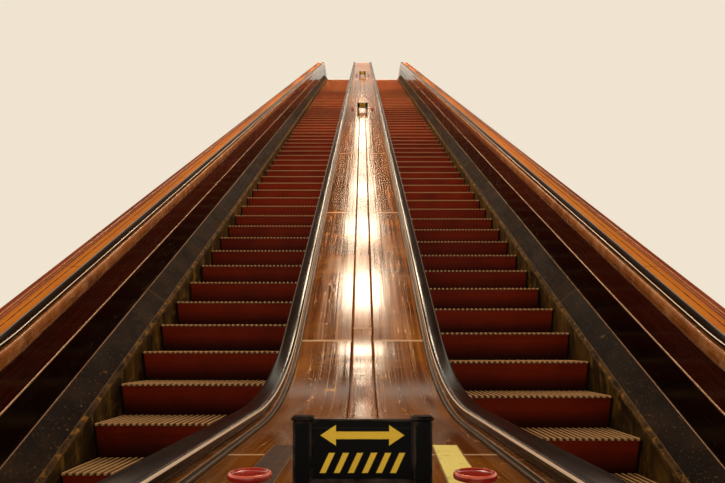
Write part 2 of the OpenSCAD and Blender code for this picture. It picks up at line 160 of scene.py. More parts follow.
# A closed skin over rings of points, shape (rings, points, 3): quads between neighbouring rings and a
# flat face on both ends. UV is metres round the section and metres along.
def skin(rings, along, edge, board=0.0):
    count, size = rings.shape[:2]
    middle = rings[count // 2]
    around = np.append(0, np.cumsum(np.linalg.norm(np.roll(middle, -1, 0) - middle, axis=1)))
    along = np.broadcast_to(np.asarray(along, float), (count,))
    i, j = np.meshgrid(np.arange(count - 1), np.arange(size), indexing="ij")
    after = (j + 1) % size
    quads = np.stack([i * size + j, i * size + after, (i + 1) * size + after, (i + 1) * size + j], -1)
    quadUv = np.stack([np.stack([around[j], along[i]], -1), np.stack([around[j + 1], along[i]], -1),
                       np.stack([around[j + 1], along[i + 1]], -1),
                       np.stack([around[j], along[i + 1]], -1)], -2)
    ends = [np.arange(size)[::-1], (count - 1) * size + np.arange(size)]
    endUv = [np.stack([around[:-1][::-1], np.full(size, along[0])], -1),
             np.stack([around[:-1], np.full(size, along[-1])], -1)]
    part = {"points": rings.reshape(-1, 3).astype(float),
            "corners": np.concatenate([quads.ravel(), *ends]),
            "sizes": np.concatenate([np.full(quads.size // 4, 4), [size, size]]),
            "uv": np.concatenate([quadUv.reshape(-1, 2), *endUv]),
            "edge": np.broadcast_to(edge, (count, size)).astype(float).ravel(),
            "board": np.full(count * size, float(board))}
    return outward(part)


# The first corner of each face, and for each corner its face, its own number and the next one round it
def cornersOf(part):
    start = np.cumsum(part["sizes"]) - part["sizes"]
    face = np.repeat(np.arange(len(start)), part["sizes"])
    index = np.arange(len(face))
    following = np.where(index + 1 < start[face] + part["sizes"][face], index + 1, start[face])
    return start, face, index, following


# Turns a part's faces over if its volume, summed over the fans of its faces, comes out negative
def outward(part):
    start, face, index, following = cornersOf(part)
    p = part["points"]
    a, b, c = (p[part["corners"][k]] for k in (start[face], index, following))
    if np.einsum("ij,ij->i", a, np.cross(b, c)).sum() < 0:
        turn = start[face] + part["sizes"][face] - 1 - (index - start[face])
        part["corners"], part["uv"] = part["corners"][turn], part["uv"][turn]
    return part


# Copies of a part at places, shape (copies, 3), each turned by its own matrix first
def copies(part, places, turns=None, boards=None):
    places = np.asarray(places, float)
    many, size = len(places), len(part["points"])
    points = np.repeat(part["points"][None], many, 0)
    if turns is not None:
        points = np.einsum("kij,knj->kni", np.asarray(turns), points)
    boards = chance.random(many) if boards is None else np.asarray(boards)
    return {"points": (points + places[:, None]).reshape(-1, 3),
            "corners": (part["corners"][None] + np.arange(many)[:, None] * size).ravel(),
            "sizes": np.tile(part["sizes"], many), "uv": np.tile(part["uv"], (many, 1)),
            "edge": np.tile(part["edge"], many), "board": np.repeat(boards, size)}


# The outline moved inwards: each point goes the distance along the mean normal of its two sides,
# stretched where they meet at an angle
def insetOutline(outline, distance):
    ahead = np.roll(outline, -1, 0) - outline
    area = np.sum(outline[:, 0] * np.roll(outline[:, 1], -1) - np.roll(outline[:, 0], -1) * outline[:, 1])
    ahead = ahead / np.maximum(np.linalg.norm(ahead, axis=1, keepdims=True), 1e-9)
    normal = np.stack([-ahead[:, 1], ahead[:, 0]], 1) * np.sign(area)
    mean = normal + np.roll(normal, 1, 0)
    length = np.maximum(np.linalg.norm(mean, axis=1, keepdims=True), 1e-6)
    mean = mean / length
    stretch = np.minimum(1 / np.maximum(np.sum(mean * normal, 1, keepdims=True), 0.3), 1.6)
    return outline + mean * distance * stretch


def rectangle(left, right, bottom, top):
    return [(left, bottom), (right, bottom), (right, top), (left, top)]


# An outline with its corners rounded by arcs. The mask is 1 on the arcs and 0 a little way off them.
def rounded(corners, radius, arc=2, rim=0.006):
    corners = np.asarray(corners, float)
    radius = np.broadcast_to(radius, len(corners))
    points, mask = [], []
    for k, here in enumerate(corners):
        back, ahead = corners[k - 1] - here, corners[(k + 1) % len(corners)] - here
        lengths = np.linalg.norm(back), np.linalg.norm(ahead)
        back, ahead = back / lengths[0], ahead / lengths[1]
        half = np.arccos(np.clip(back @ ahead, -1, 1)) / 2
        if radius[k] <= 0 or half > 1.54:
            points.append(here[None])
            mask.append([0.0])
            continue
        cut = min(radius[k] / tan(half), 0.42 * min(lengths))
        bow = (back + ahead) / np.linalg.norm(back + ahead)
        centre = here + bow * cut / cos(half)
        first, last = here + back * cut - centre, here + ahead * cut - centre
        share = np.linspace(0, 1, arc + 1)[:, None]
        ring = first * (1 - share) + last * share
        ring = ring / np.linalg.norm(ring, axis=1, keepdims=True) * np.linalg.norm(first) + centre
        before, after = (cut + min(rim, 0.25 * (length - cut)) for length in lengths)
        points += [(here + back * before)[None], ring, (here + ahead * after)[None]]
        mask += [[0.0], np.ones(arc + 1), [0.0]]
    return np.concatenate(points), np.concatenate(mask)


# Flat UV in metres: a face's normal is the sum of the cross products of its sides, measured from its
# first corner. The axis nearest to it drops out, and V is the one of the other two along which the part
# is longer.
def boxMapped(part):
    start, face, _, following = cornersOf(part)
    p, q = part["points"][part["corners"]], part["points"][part["corners"][following]]
    normal = np.abs(np.add.reduceat(np.cross(p - p[start][face], q - p[start][face]), start))
    axes = np.argsort(np.ptp(part["points"], axis=0))
    pairs = np.array([[k for k in axes if k != axis] for axis in range(3)])[np.argmax(normal, 1)][face]
    part["uv"] = np.take_along_axis(p, pairs, 1)
    return part


# A straight bar: the outline repeated at places along an axis, with both ends drawn in by a chamfer and a
# smaller copy of the outline inside each end, which keeps the wear near the rim
def bar(outline, low, high, axis, chamfer=0.001, mask=None, board=0.0, rim=0.006):
    rim = min(rim, 0.2 * np.ptp(outline, axis=0).min())
    inset = chamfer + 0.005
    spots = [low, low, low + chamfer, low + inset, high - inset, high - chamfer, high, high]
    if high - low < 0.03 + 2 * chamfer:   # too short for the two rings that keep the wear near its ends
        spots = spots[:3] + spots[5:]
    drawn = insetOutline(outline, chamfer)
    middle, size = (drawn.min(0) + drawn.max(0)) / 2, np.ptp(drawn, axis=0)
    shrunk = insetOutline(drawn, rim) if rim < 0.002 else middle + (drawn - middle) * (1 - 2 * rim / size)
    shapes = [shrunk, drawn]
    shapes = shapes + [outline] * (len(spots) - 4) + shapes[::-1]
    mask = np.zeros(len(outline)) if mask is None else mask
    rings, edge = [], []
    for k, (spot, flat) in enumerate(zip(spots, shapes)):
        column = np.full(len(flat), spot)
        order = {"x": [column, flat[:, 0], flat[:, 1]], "y": [flat[:, 0], column, flat[:, 1]],
                 "z": [flat[:, 0], flat[:, 1], column]}[axis]
        rings.append(np.stack(order, 1))
        edgeShare = k in (1, 2, len(spots) - 3, len(spots) - 2)
        edge.append(np.ones(len(flat)) if edgeShare else mask * (0 < k < len(spots) - 1))
    return boxMapped(skin(np.stack(rings), np.array(spots) - low, np.stack(edge), board))


# A block with softened edges between two corners
def block(low, high, soft=0.002, board=0.0):
    outline, mask = rounded(rectangle(low[0], high[0], low[1], high[1]), soft, 1)
    return bar(outline, low[2], high[2], "z", soft, mask, board)


# A turned solid: rings at (radius, z, edge mask) points, with its first and last ring closed flat
def turned(profile, around=24):
    profile = np.asarray(profile, float)
    angle = np.arange(around) / around * 2 * pi
    rings = np.stack([profile[:, :1] * np.cos(angle), profile[:, :1] * np.sin(angle),
                      profile[:, 1:2] + 0 * angle], -1)
    walked = np.append(0, np.cumsum(np.linalg.norm(np.diff(profile[:, :2], axis=0), axis=1)))
    return skin(rings, walked, profile[:, 2:] + 0 * angle[None])


# An outline carried along a path: the path gives y and z for the outline's heights at each spot. The first
# and last ring are drawn in by the chamfer, and both rings at each end count as edges.
def alongPath(outline, mask, spots, along, path, chamfer, board):
    drawn = insetOutline(outline, chamfer)
    y, z = path(outline[:, 1], spots)
    rings = np.stack([np.broadcast_to(outline[:, 0], y.shape), y, z], -1)
    y, z = path(drawn[:, 1], spots[[0, -1]])
    for ring, k in ((0, 0), (-1, 1)):
        rings[ring] = np.stack([drawn[:, 0], y[k], z[k]], -1)
    edge = np.repeat(mask[None], len(spots), 0)
    edge[[0, 1, -2, -1]] = 1
    return skin(rings, along, edge, board)


# A section [distance across the machine, height over the nosings] carried up the machine, each ring in the
# plane square to the deck's line
def carried(outline, mask, start, end, board=0.0, chamfer=0.0012, rim=0.008):
    spots = np.concatenate([[start, start + chamfer, start + chamfer + rim], stationsFrom(start, end),
                            [end - chamfer - rim, end - chamfer, end]])
    return alongPath(outline, mask, spots, spots, sectionPlaces, chamfer, board)


# Lengths of one section with joints between them
def boardRun(outline, mask, joints, gap=0.0015, **how):
    stops = [0.0, *[j for j in joints if 0.2 < j < deckLength - 0.2], deckLength]
    return [carried(outline, mask, a + (gap / 2 if a else 0), b - (gap / 2 if b < deckLength else 0),
                    board=chance.random(), **how) for a, b in zip(stops, stops[1:])]


# The same outline on each balustrade: flight -1 or 1, wall -1 or 1 from the flight's middle
def onWall(outline, flight, wall):
    return np.stack([flight * machine["flightX"] + wall * outline[:, 0], outline[:, 1]], 1)


# Points round a newel: each line h is a half circle there. Angle 0 is the top; end is -1 or 1.
def newelPlaces(h, angles, end):
    radius = levelOf(np.asarray(h, float)) - levelOf(height["deck"]) + machine["newelRadius"]
    centreY, centreZ = newelCentre(end)
    angles = np.asarray(angles, float)[:, None]
    return centreY + end * radius * np.sin(angles), centreZ + radius * np.cos(angles)


# Where the balustrades end at a landing, and the level of that landing's steps
def landing(end):
    return (lowerJoin, 0.0) if end < 0 else (upperJoin, rise)


# The middle of a newel's half circles, as y and z
def newelCentre(end):
    join, floor = landing(end)
    return join + end * machine["newelRun"], floor + levelOf(height["deck"]) - machine["newelRadius"]


# A section carried round a newel between two angles
def roundNewel(outline, mask, first, last, end, steps=4, chamfer=0.001, board=0.0):
    radius = machine["newelRadius"]
    cut = chamfer / radius
    angles = np.concatenate([[first], np.linspace(first + cut, last - cut, steps), [last]])
    return alongPath(outline, mask, angles, angles * radius, lambda h, a: newelPlaces(h, a, end), chamfer,
                     board)


# Joins parts into one mesh object that rides on a body and stands for CAD nodes
def addPiece(name, parts, material, nodes, body="machine", soft=32):
    first = np.cumsum([0] + [len(p["points"]) for p in parts[:-1]])
    together = {key: np.concatenate([p[key] for p in parts])
                for key in ("points", "sizes", "uv", "edge", "board")}
    corners = np.concatenate([p["corners"] + n for p, n in zip(parts, first)])
    mesh = bpy.data.meshes.new(name)
    mesh.vertices.add(len(together["points"]))
    mesh.vertices.foreach_set("co", (together["points"] + home).ravel())
    mesh.loops.add(len(corners))
    mesh.loops.foreach_set("vertex_index", corners)
    mesh.polygons.add(len(together["sizes"]))
    mesh.polygons.foreach_set("loop_start", np.cumsum(together["sizes"]) - together["sizes"])
    mesh.uv_layers.new(name="metres").data.foreach_set("uv", together["uv"].ravel())
    for key in ("edge", "board"):
        mesh.attributes.new(key, "FLOAT", "POINT").data.foreach_set("value", together[key])
    mesh.update(calc_edges=True)
    mesh.validate()
    mesh.shade_smooth()
    mesh.set_sharp_from_angle(angle=radians(soft))
    mesh.materials.append(material)
    piece = bpy.data.objects.new(name, mesh)
    bpy.context.scene.collection.objects.link(piece)
    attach(piece, body)
    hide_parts(*([nodes] if isinstance(nodes, str) else nodes))
    return piece


# A colour written as on a screen, 0 to 255, as Blender's linear colour
def paint(r, g, b):
    c = np.array([r, g, b]) / 255
    return (*np.where(c < 0.04045, c / 12.92, ((c + 0.055) / 1.055) ** 2.4).tolist(), 1.0)


# Adds nodes to a tree: inputs are values or the sockets that feed them
def nodeMaker(tree):
    def add(kind, inputs=None, **settings):
        node = tree.nodes.new("ShaderNode" + kind)
        for key, value in settings.items():
            setattr(node, key, value)
        for key, value in (inputs or {}).items():
            if isinstance(value, bpy.types.NodeSocket):
                tree.links.new(value, node.inputs[key])
            else:
                node.inputs[key].default_value = value
        return node
    return add


# One colour where the mask is 0 and another where it is 1
def blended(add, mask, first, second):
    node = add("Mix", {0: mask, 6: first, 7: second}, data_type="RGBA")
    return node.outputs[2]


# One step of arithmetic
def worked(add, operation, first, second=0.0, third=0.0):
    return add("Math", {0: first, 1: second, 2: third}, operation=operation).outputs[0]


# A value's smooth step from low to high, as 0 to 1 or from toLow to toHigh
def ranged(add, value, low, high, toLow=0.0, toHigh=1.0):
    return add("MapRange", {"Value": value, "From Min": low, "From Max": high, "To Min": toLow,
                            "To Max": toHigh}, interpolation_type="SMOOTHSTEP").outputs[0]


# A vector of three values, each of which may be a pair to multiply
def vectorOf(add, *values):
    values = [worked(add, "MULTIPLY", *v) if isinstance(v, tuple) else v for v in values]
    return add("CombineXYZ", dict(zip("XYZ", values))).outputs[0]


def noiseOf(add, vector, scale, detail=3.0, rough=0.55):
    return add("TexNoise", {"Vector": vector, "Scale": scale, "Detail": detail,
                            "Roughness": rough}).outputs[0]


# A shared effect: a node group with named inputs, given as name: (socket kind, default)
def effectGroup(name, inputs, outputs):
    tree = bpy.data.node_groups.new(name, "ShaderNodeTree")
    for key, (kind, value) in inputs.items():
        socket = tree.interface.new_socket(key, in_out="INPUT", socket_type="NodeSocket" + kind)
        if value is not None:
            socket.default_value = value
    for key, kind in outputs.items():
        tree.interface.new_socket(key, in_out="OUTPUT", socket_type="NodeSocket" + kind)
    return tree, nodeMaker(tree), tree.nodes.new("NodeGroupInput").outputs, tree.nodes.new(
        "NodeGroupOutput")


# Cycles of the grain's noises in a metre, across and along a board
grainCycles = {"wander": (3.0, 1.1), "streak": (95.0, 1.7), "band": (17.0, 0.55), "pore": (620.0, 26.0)}


# Board grain: long streaks and broad bands along a board, fine pores, and a tone of its own per board
def makeBoardGrain():
    tree, add, given, out = effectGroup("boardGrain", {
        "Across": ("Float", 0.0), "Along": ("Float", 0.0), "Board": ("Float", 0.0),
        "Fineness": ("Float", 1.0), "Contrast": ("Float", 1.0), "Tone": ("Float", 0.2),
        "Dark": ("Color", None), "Light": ("Color", None)},
        {"Color": "Color", "Streak": "Float", "Pore": "Float"})
    x = worked(add, "MULTIPLY", given["Across"], given["Fineness"])
    y = given["Along"]
    seed = worked(add, "MULTIPLY", given["Board"], 61.0)

    def noise(key, across, detail, rough=0.55):
        wide, long = grainCycles[key]
        return noiseOf(add, vectorOf(add, (across, wide), (y, long), seed), 1.0, detail, rough)

    bent = worked(add, "MULTIPLY_ADD", noise("wander", x, 2.0), 0.02, x)
    streak, band, pore = noise("streak", bent, 4.0, 0.65), noise("band", bent, 2.0), noise("pore", x, 1.0)
    both = worked(add, "ADD", worked(add, "MULTIPLY", streak, 0.55), worked(add, "MULTIPLY", band, 0.45))
    spread = worked(add, "MULTIPLY", worked(add, "SUBTRACT", both, 0.5), given["Contrast"])
    own = worked(add, "MULTIPLY", worked(add, "SUBTRACT", given["Board"], 0.5), given["Tone"])
    level = worked(add, "ADD", worked(add, "MULTIPLY_ADD", spread, 3.2, 0.5), own)
    level = add("Clamp", {"Value": level}).outputs[0]
    holes = ranged(add, pore, 0.30, 0.46)
    colour = blended(add, level, given["Dark"], given["Light"])
    colour = blended(add, worked(add, "MULTIPLY_ADD", holes, 0.35, 0.65), given["Dark"], colour)
    for key, value in (("Color", colour), ("Streak", level), ("Pore", holes)):
        tree.links.new(value, out.inputs[key])
    return tree


# Edge wear: the edge mask of the mesh, broken up by noise
def makeEdgeWear():
    tree, add, given, out = effectGroup("edgeWear", {
        "Edge": ("Float", 0.0), "Place": ("Vector", None), "Amount": ("Float", 0.5),
        "Size": ("Float", 25.0)}, {"Mask": "Float"})
    noise = noiseOf(add, given["Place"], given["Size"], 3.0, 0.6)
    lifted = worked(add, "ADD", worked(add, "MULTIPLY", noise, 0.9),
                    worked(add, "MULTIPLY", given["Amount"], 0.7))
    mask = ranged(add, worked(add, "MULTIPLY", lifted, given["Edge"]), 0.34, 0.62)
    tree.links.new(mask, out.inputs["Mask"])
    return tree


# Stains: soft patches of noise, cut at a cover from 0 to 1
def makeStains():
    tree, add, given, out = effectGroup("stains", {
        "Place": ("Vector", None), "Size": ("Float", 3.0), "Cover": ("Float", 0.5),
        "Softness": ("Float", 0.15)}, {"Mask": "Float"})
    broad = noiseOf(add, given["Place"], given["Size"], 5.0, 0.62)
    cut = worked(add, "MULTIPLY_ADD", given["Cover"], -0.5, 0.75)
    low = worked(add, "SUBTRACT", cut, given["Softness"])
    high = worked(add, "ADD", cut, given["Softness"])
    tree.links.new(ranged(add, broad, low, high), out.inputs["Mask"])
    return tree


# Scratches: thin level lines of noise that is stretched along the piece
def makeScratches():
    tree, add, given, out = effectGroup("scratches", {
        "Across": ("Float", 0.0), "Along": ("Float", 0.0), "Board": ("Float", 0.0),
        "Fineness": ("Float", 1.0), "Width": ("Float", 0.012)}, {"Mask": "Float"})
    masks = []
    for wide, long, seed in ((38.0, 1.3, 3.0), (71.0, 4.1, 19.0)):
        fine = worked(add, "MULTIPLY", given["Fineness"], wide)
        place = vectorOf(add, (given["Across"], fine), (given["Along"], long),
                         worked(add, "MULTIPLY_ADD", given["Board"], 23.0, seed))
        lines = noiseOf(add, place, 1.0, 0.0)
        near = worked(add, "ABSOLUTE", worked(add, "SUBTRACT", lines, 0.5))
        line = worked(add, "SUBTRACT", 1.0, ranged(add, near, 0.0, given["Width"]))
        patches = ranged(add, noiseOf(add, place, 0.31, 2.0), 0.5, 0.62)
        masks.append(worked(add, "MULTIPLY", line, patches))
    tree.links.new(worked(add, "MAXIMUM", *masks), out.inputs["Mask"])
    return tree


effects = {"grain": makeBoardGrain(), "wear": makeEdgeWear(), "stains": makeStains(),
           "scratches": makeScratches()}


# A finish from a dictionary. dark, light: the two colours of the grain. rough: where the grain is dark
# and where it is light. stains: (colour, cover, size, softness, strength, roughness added).
# Places are the piece's UV in metres, or its Object coordinates where flat is set.
def finish(name, look):
    look = {"fineness": 1.0, "contrast": 1.0, "tone": 0.2, "metallic": 0.0, "coat": 0.0,
            "coatRough": 0.08, "specular": 0.5, "stains": (), "scratch": None, "wear": None, "low": None,
            "line": None, "bump": 0.3, "wave": 0.0, "waveSize": 6.0, "waveLong": 0.25, "groove": 0.0,
            "long": 1.0, "stretch": 1.0, "pore": 0.3, "flat": False, **look}
    material = bpy.data.materials.new(name)
    material.use_nodes = True
    tree = material.node_tree
    tree.nodes.clear()
    add = nodeMaker(tree)
    place = add("TexCoord").outputs["Object"]
    surface = place if look["flat"] else add("UVMap", uv_map="metres").outputs[0]
    across, along = add("SeparateXYZ", {"Vector": surface}).outputs[:2]
    board = add("Attribute", attribute_name="board").outputs["Fac"]
    edge = add("Attribute", attribute_name="edge").outputs["Fac"]
    grain = add("Group", node_tree=effects["grain"])
    drawn = along if look["long"] == 1 else worked(add, "DIVIDE", along, look["long"])
    for key, value in (("Across", across), ("Along", drawn), ("Board", board)):
        tree.links.new(value, grain.inputs[key])
    for key in ("Fineness", "Contrast", "Tone", "Dark", "Light"):
        value = look[key.lower()]
        grain.inputs[key].default_value = paint(*value) if key in ("Dark", "Light") else value
    colour = grain.outputs["Color"]
    rough = ranged(add, grain.outputs["Streak"], 0.15, 0.85, *look["rough"])
    stretched = add("Mapping", {"Vector": place, "Scale": (1.0, 1.0, look["stretch"])}).outputs[0]
    for stain, cover, size, softness, strength, rougher in look["stains"]:
        spot = add("Group", {"Place": stretched, "Size": size, "Cover": cover, "Softness": softness},
                   node_tree=effects["stains"]).outputs[0]
        spot = worked(add, "MULTIPLY", spot, strength)
        colour = blended(add, spot, colour, paint(*stain))
        rough = worked(add, "MULTIPLY_ADD", spot, rougher, rough)
    height = worked(add, "MULTIPLY", grain.outputs["Pore"], look["pore"])
    if look["groove"]:
        grooves = noiseOf(add, vectorOf(add, (across, 42.0), (along, 0.6), (board, 53.0)), 1.0, 1.0)
        height = worked(add, "MULTIPLY_ADD", grooves, look["groove"], height)
    if look["scratch"]:
        scratchColour, strength, width = look["scratch"]
        line = add("Group", {"Across": across, "Along": along, "Board": board, "Width": width,
                             "Fineness": look["fineness"]}, node_tree=effects["scratches"]).outputs[0]
        line = worked(add, "MULTIPLY", line, strength)
        colour = blended(add, line, colour, paint(*scratchColour))
        rough = worked(add, "MULTIPLY_ADD", line, 0.2, rough)
        height = worked(add, "SUBTRACT", height, worked(add, "MULTIPLY", line, 0.6))
    # low: painted shade, a colour that darkens the face towards where its edge mask is 0
    if look["low"]:
        paintedShadeColour, strength, start = look["low"]
        shade = worked(add, "MULTIPLY", ranged(add, edge, start, 0.0), strength)
        colour = blended(add, shade, colour, paint(*paintedShadeColour))
    # line: a painted line of shade or highlight where the edge mask is high: the painted shadow under the
    # risers' slats, the painted highlight on the handrails' edge and at the deck's joints
    if look["line"]:
        paintedLineColour, start, full = look["line"]
        colour = blended(add, ranged(add, edge, start, full), colour, paint(*paintedLineColour))
    if look["wear"]:
        edgeColour, amount, rougher = look["wear"]
        mask = add("Group", {"Edge": edge, "Place": place, "Amount": amount},
                   node_tree=effects["wear"]).outputs[0]
        colour = blended(add, mask, colour, paint(*edgeColour))
        rough = worked(add, "MULTIPLY_ADD", mask, rougher, rough)
    if look["wave"]:
        size = look["waveSize"]
        wave = noiseOf(add, vectorOf(add, (across, size), (along, size * look["waveLong"]), (board, 37.0)),
                       1.0, 2.0)
        height = worked(add, "MULTIPLY_ADD", wave, look["wave"], height)
    bump = add("Bump", {"Height": height, "Strength": look["bump"], "Distance": 0.001})
    shader = add("BsdfPrincipled", {"Base Color": colour, "Roughness": rough, "Normal": bump.outputs[0],
                                    "Metallic": look["metallic"], "Coat Weight": look["coat"],
                                    "Coat Roughness": look["coatRough"],
                                    "Specular IOR Level": look["specular"]})
    tree.links.new(shader.outputs[0], add("OutputMaterial").inputs[0])
    material.diffuse_color = paint(*look["light"])
    return material


print("finishes' shared effects made:", ", ".join(effects))


# The two flights and the two landings, as sides of the machine and as words in the names of pieces
flights = ((-1, "left"), (1, "right"))
ends = ((-1, "lower"), (1, "upper"))


# Joints along a run of boards or plates: the first ones as given, then one every spacing
def jointsFrom(first, spacing=2.44):
    return [*first[:-1], *np.arange(first[-1], deckLength, spacing).tolist()]


# The same part with its UV turned by 90 degrees, so that the grain runs round the section
def crossGrain(part):
    part["uv"] = part["uv"][:, ::-1].copy()
    return part


# A half or whole circle of points, an angle of 0 along the first axis
def circle(centre, radius, first=0.0, last=2 * pi, count=12):
    angle = np.linspace(first, last, count, endpoint=abs(last - first) < 6.28)
    return np.stack([centre[0] + radius * np.cos(angle), centre[1] + radius * np.sin(angle)], 1)


# Steps. The body is a wedge with a softened nosing, its ends are dark plates set back from the riser,
# and the slats lie along the tread with their noses over the riser.
steps = {"start": {-1: 0.277, 1: 0.145}, "count": 70, "bodyHalf": 0.491, "slats": 28, "slatWidth": 0.0152,
         "slatHeight": 0.0095, "depth": 0.403}
# The risers' low colour is painted shade: each riser darkens towards its foot, as if shaded by the tread
# above. Their line colour is a painted shadow: the top few millimetres of the riser and the tread's top
# under the slats are darkened, as the shade in the gaps between the slats.
riserLook = {"dark": (78, 17, 2), "light": (122, 34, 5), "rough": (0.42, 0.55), "contrast": 0.55,
             "tone": 0.25, "fineness": 0.5, "stains": [((54, 9, 2), 0.35, 3.0, 0.2, 0.5, 0.1)],
             "bump": 0.2, "low": ((20, 3, 1), 0.92, 0.78), "line": ((26, 8, 3), 0.915, 0.935),
             "specular": 0.12}
slatLook = {"dark": (22, 7, 2), "light": (44, 19, 6), "rough": (0.5, 0.65), "contrast": 0.6, "bump": 0.25,
            "wear": ((166, 126, 82), 1.0, -0.05), "specular": 0.2}
cheekLook = {"dark": (13, 7, 4), "light": (26, 14, 7), "rough": (0.5, 0.7), "contrast": 0.6,
             "metallic": 0.6, "stains": [((46, 28, 10), 0.3, 6.0, 0.2, 0.5, 0.1)]}
riserWood = finish("riserWood", riserLook)
slatWood = finish("slatWood", slatLook)
cheekIron = finish("cheekIron", cheekLook)


# A slat: its side view carried over its width, with both top edges drawn down
def slatPart():
    high, nose, deep = steps["slatHeight"], 0.0035, steps["depth"]
    side = np.array([(0.0005, -0.014), (0, -nose), (nose, 0), (deep, 0), (deep, -high)])
    half = steps["slatWidth"] / 2
    rings = [np.stack([np.full(5, x), side[:, 0], side[:, 1] - drop * (side[:, 1] > -nose * 1.1)], 1)
             for x, drop in ((-half, 0.0015), (0.0015 - half, 0), (half - 0.0015, 0), (half, 0.0015))]
    top = np.array([0.8, 0.95, 1, 0.9, 0.1])
    return crossGrain(skin(np.stack(rings), [0, 0.0015, 2 * half - 0.0015, 2 * half],
                           np.stack([top * 0.55, top, top, top * 0.55])))


# A flight's steps: copies of one step at even distances along the line of the nosings
def makeSteps(flight, word):
    s = steps["start"][flight] + np.arange(steps["count"]) * machine["stepPitch"]
    y, z, slope = lineAt(0.0, s)
    places = np.stack([np.full(len(y), flight * machine["flightX"]), y, z], 1)
    top, half = -steps["slatHeight"], steps["bodyHalf"]
    outline, _ = rounded([(0.006, top), (0.058, -0.202), (0.078, -0.2125), (0.401, -0.0275), (0.401, top)],
                         [0.007, 0.004, 0.004, 0.002, 0.002], 2)
    mask = np.clip(1 + outline[:, 1] / 0.2, 0, 1)   # 1 at the nosing, 0 at the riser's foot
    body = bar(outline, -half, half, "x", 0.003, mask)
    body["edge"] = np.tile(mask, len(body["edge"]) // len(mask))   # for the finish's painted shade towards the riser's foot and painted shadow under the slats
    cheek = np.array([(0.016, top), (0.064, -0.198), (0.082, -0.206), (0.399, -0.03), (0.399, top)])
    cheeks = [bar(cheek, a, b, "x", 0.001) for a, b in ((-0.508, -half - 0.001), (half + 0.001, 0.508))]
    spread = (np.arange(steps["slats"]) + 0.5) / steps["slats"] * 2 * (half + 0.009) - half - 0.009
    slatPlaces = (places[:, None] + np.stack([spread, 0 * spread, 0 * spread], 1)[None]).reshape(-1, 3)
    node = word + "_steps"
    addPiece(word + "_step_boards", [copies(body, places)], riserWood, node)
    addPiece(word + "_step_slats", [copies(slatPart(), slatPlaces)], slatWood, node)
    addPiece(word + "_step_cheeks", [copies(c, places) for c in cheeks], cheekIron, node)


for flight, word in flights:
    makeSteps(flight, word)
print("steps made")


# The underside of the balustrades: the straight line z between the joins
def straightAt(z, y):
    return z + np.clip((y - machine["bendY"]) * tan(incline), 0, rise)


# Skirts: upright plates beside the steps, from the housing's top up to the line of the skirt
skirts = {"faces": (0.511, 0.519), "bottom": -0.3154, "joints": (1.36, 3.80), "gap": 0.003}
skirtLook = {"dark": (50, 33, 8), "light": (112, 80, 24), "rough": (0.42, 0.62), "contrast": 0.9,
             "tone": 0.35, "fineness": 0.25, "stretch": 0.35,
             "stains": [((18, 9, 2), 0.55, 5.0, 0.14, 0.8, 0.1),
                        ((140, 102, 34), 0.34, 14.0, 0.08, 0.6, 0.1)],
             "scratch": ((150, 116, 56), 0.5, 0.02), "metallic": 0.15, "specular": 0.3}
skirtPaint = finish("skirtPaint", skirtLook)


# A skirt plate: six points at each station, from the skirt's line straight down to the machine's underside
def skirtPlate(flight, wall, start, end, board):
    stations = np.concatenate([[start, start + 0.004], stationsFrom(start, end), [end - 0.004, end]])
    y, z = (v[:, 0] for v in sectionPlaces([height["skirt"]], stations))
    low = straightAt(skirts["bottom"], y)
    near, far = skirts["faces"]
    u = np.array([near + 0.0015, near, near, far, far, far - 0.0015])
    zs = np.stack([z, z - 0.0015, low, low, z - 0.0015, z], 1)
    x = flight * machine["flightX"] + wall * u
    rings = np.stack([np.broadcast_to(x, zs.shape), np.broadcast_to(y[:, None], zs.shape), zs], -1)
    edge = np.zeros(zs.shape)
    edge[:, [0, 1, 4, 5]] = 1
    return skin(rings, stations, edge, board)


for flight, word in flights:
    plates = []
    stops = [0, *jointsFrom(skirts["joints"]), deckLength]
    for wall in (-1, 1):
        plates += [skirtPlate(flight, wall, a + (skirts["gap"] if a else 0), b, chance.random())
                   for a, b in zip(stops, stops[1:])]
    addPiece(word + "_skirt_plates", plates, skirtPaint, word + "_skirts")

# Skirt decks: the sloping plate over the skirt, a worn cap strip on its lower edge and a bright bead
# where it meets the panels
skirtDecks = {"outline": [(0.513, 0.034), (0.519, 0.033), (0.667, 0.170), (0.667, 0.177), (0.655, 0.177),
                          (0.513, 0.0415)],
              "cap": [(0.5105, 0.0345), (0.5185, 0.0315), (0.5365, 0.0495), (0.5365, 0.0655),
                      (0.5335, 0.0655), (0.5105, 0.0440)],
              "bead": ((0.6525, 0.1762), 0.0032), "joints": (1.36, 3.80)}
skirtDeckLook = {"dark": (12, 6, 3), "light": (44, 26, 12), "rough": (0.46, 0.64), "contrast": 0.9,
                 "tone": 0.5, "fineness": 0.35, "specular": 0.1,
                 "stains": [((72, 48, 20), 0.3, 3.0, 0.2, 0.45, 0.1),
                            ((9, 5, 3), 0.45, 5.0, 0.2, 0.7, 0.1),
                            ((122, 94, 62), 0.2, 70.0, 0.04, 0.6, 0.1),
                            ((110, 74, 22), 0.1, 9.0, 0.05, 0.8, 0.1)],
                 "bump": 0.4, "wear": ((86, 62, 36), 0.5, -0.05)}
capLook = {**skirtDeckLook, "dark": (46, 29, 8), "light": (98, 66, 20), "tone": 0.4,
           "stains": [((14, 7, 3), 0.5, 9.0, 0.1, 0.85, 0.1),
                      ((144, 100, 28), 0.34, 16.0, 0.08, 0.75, 0.1)]}
skirtDeckPaint = finish("skirtDeckPaint", skirtDeckLook)
capPaint = finish("capPaint", capLook)
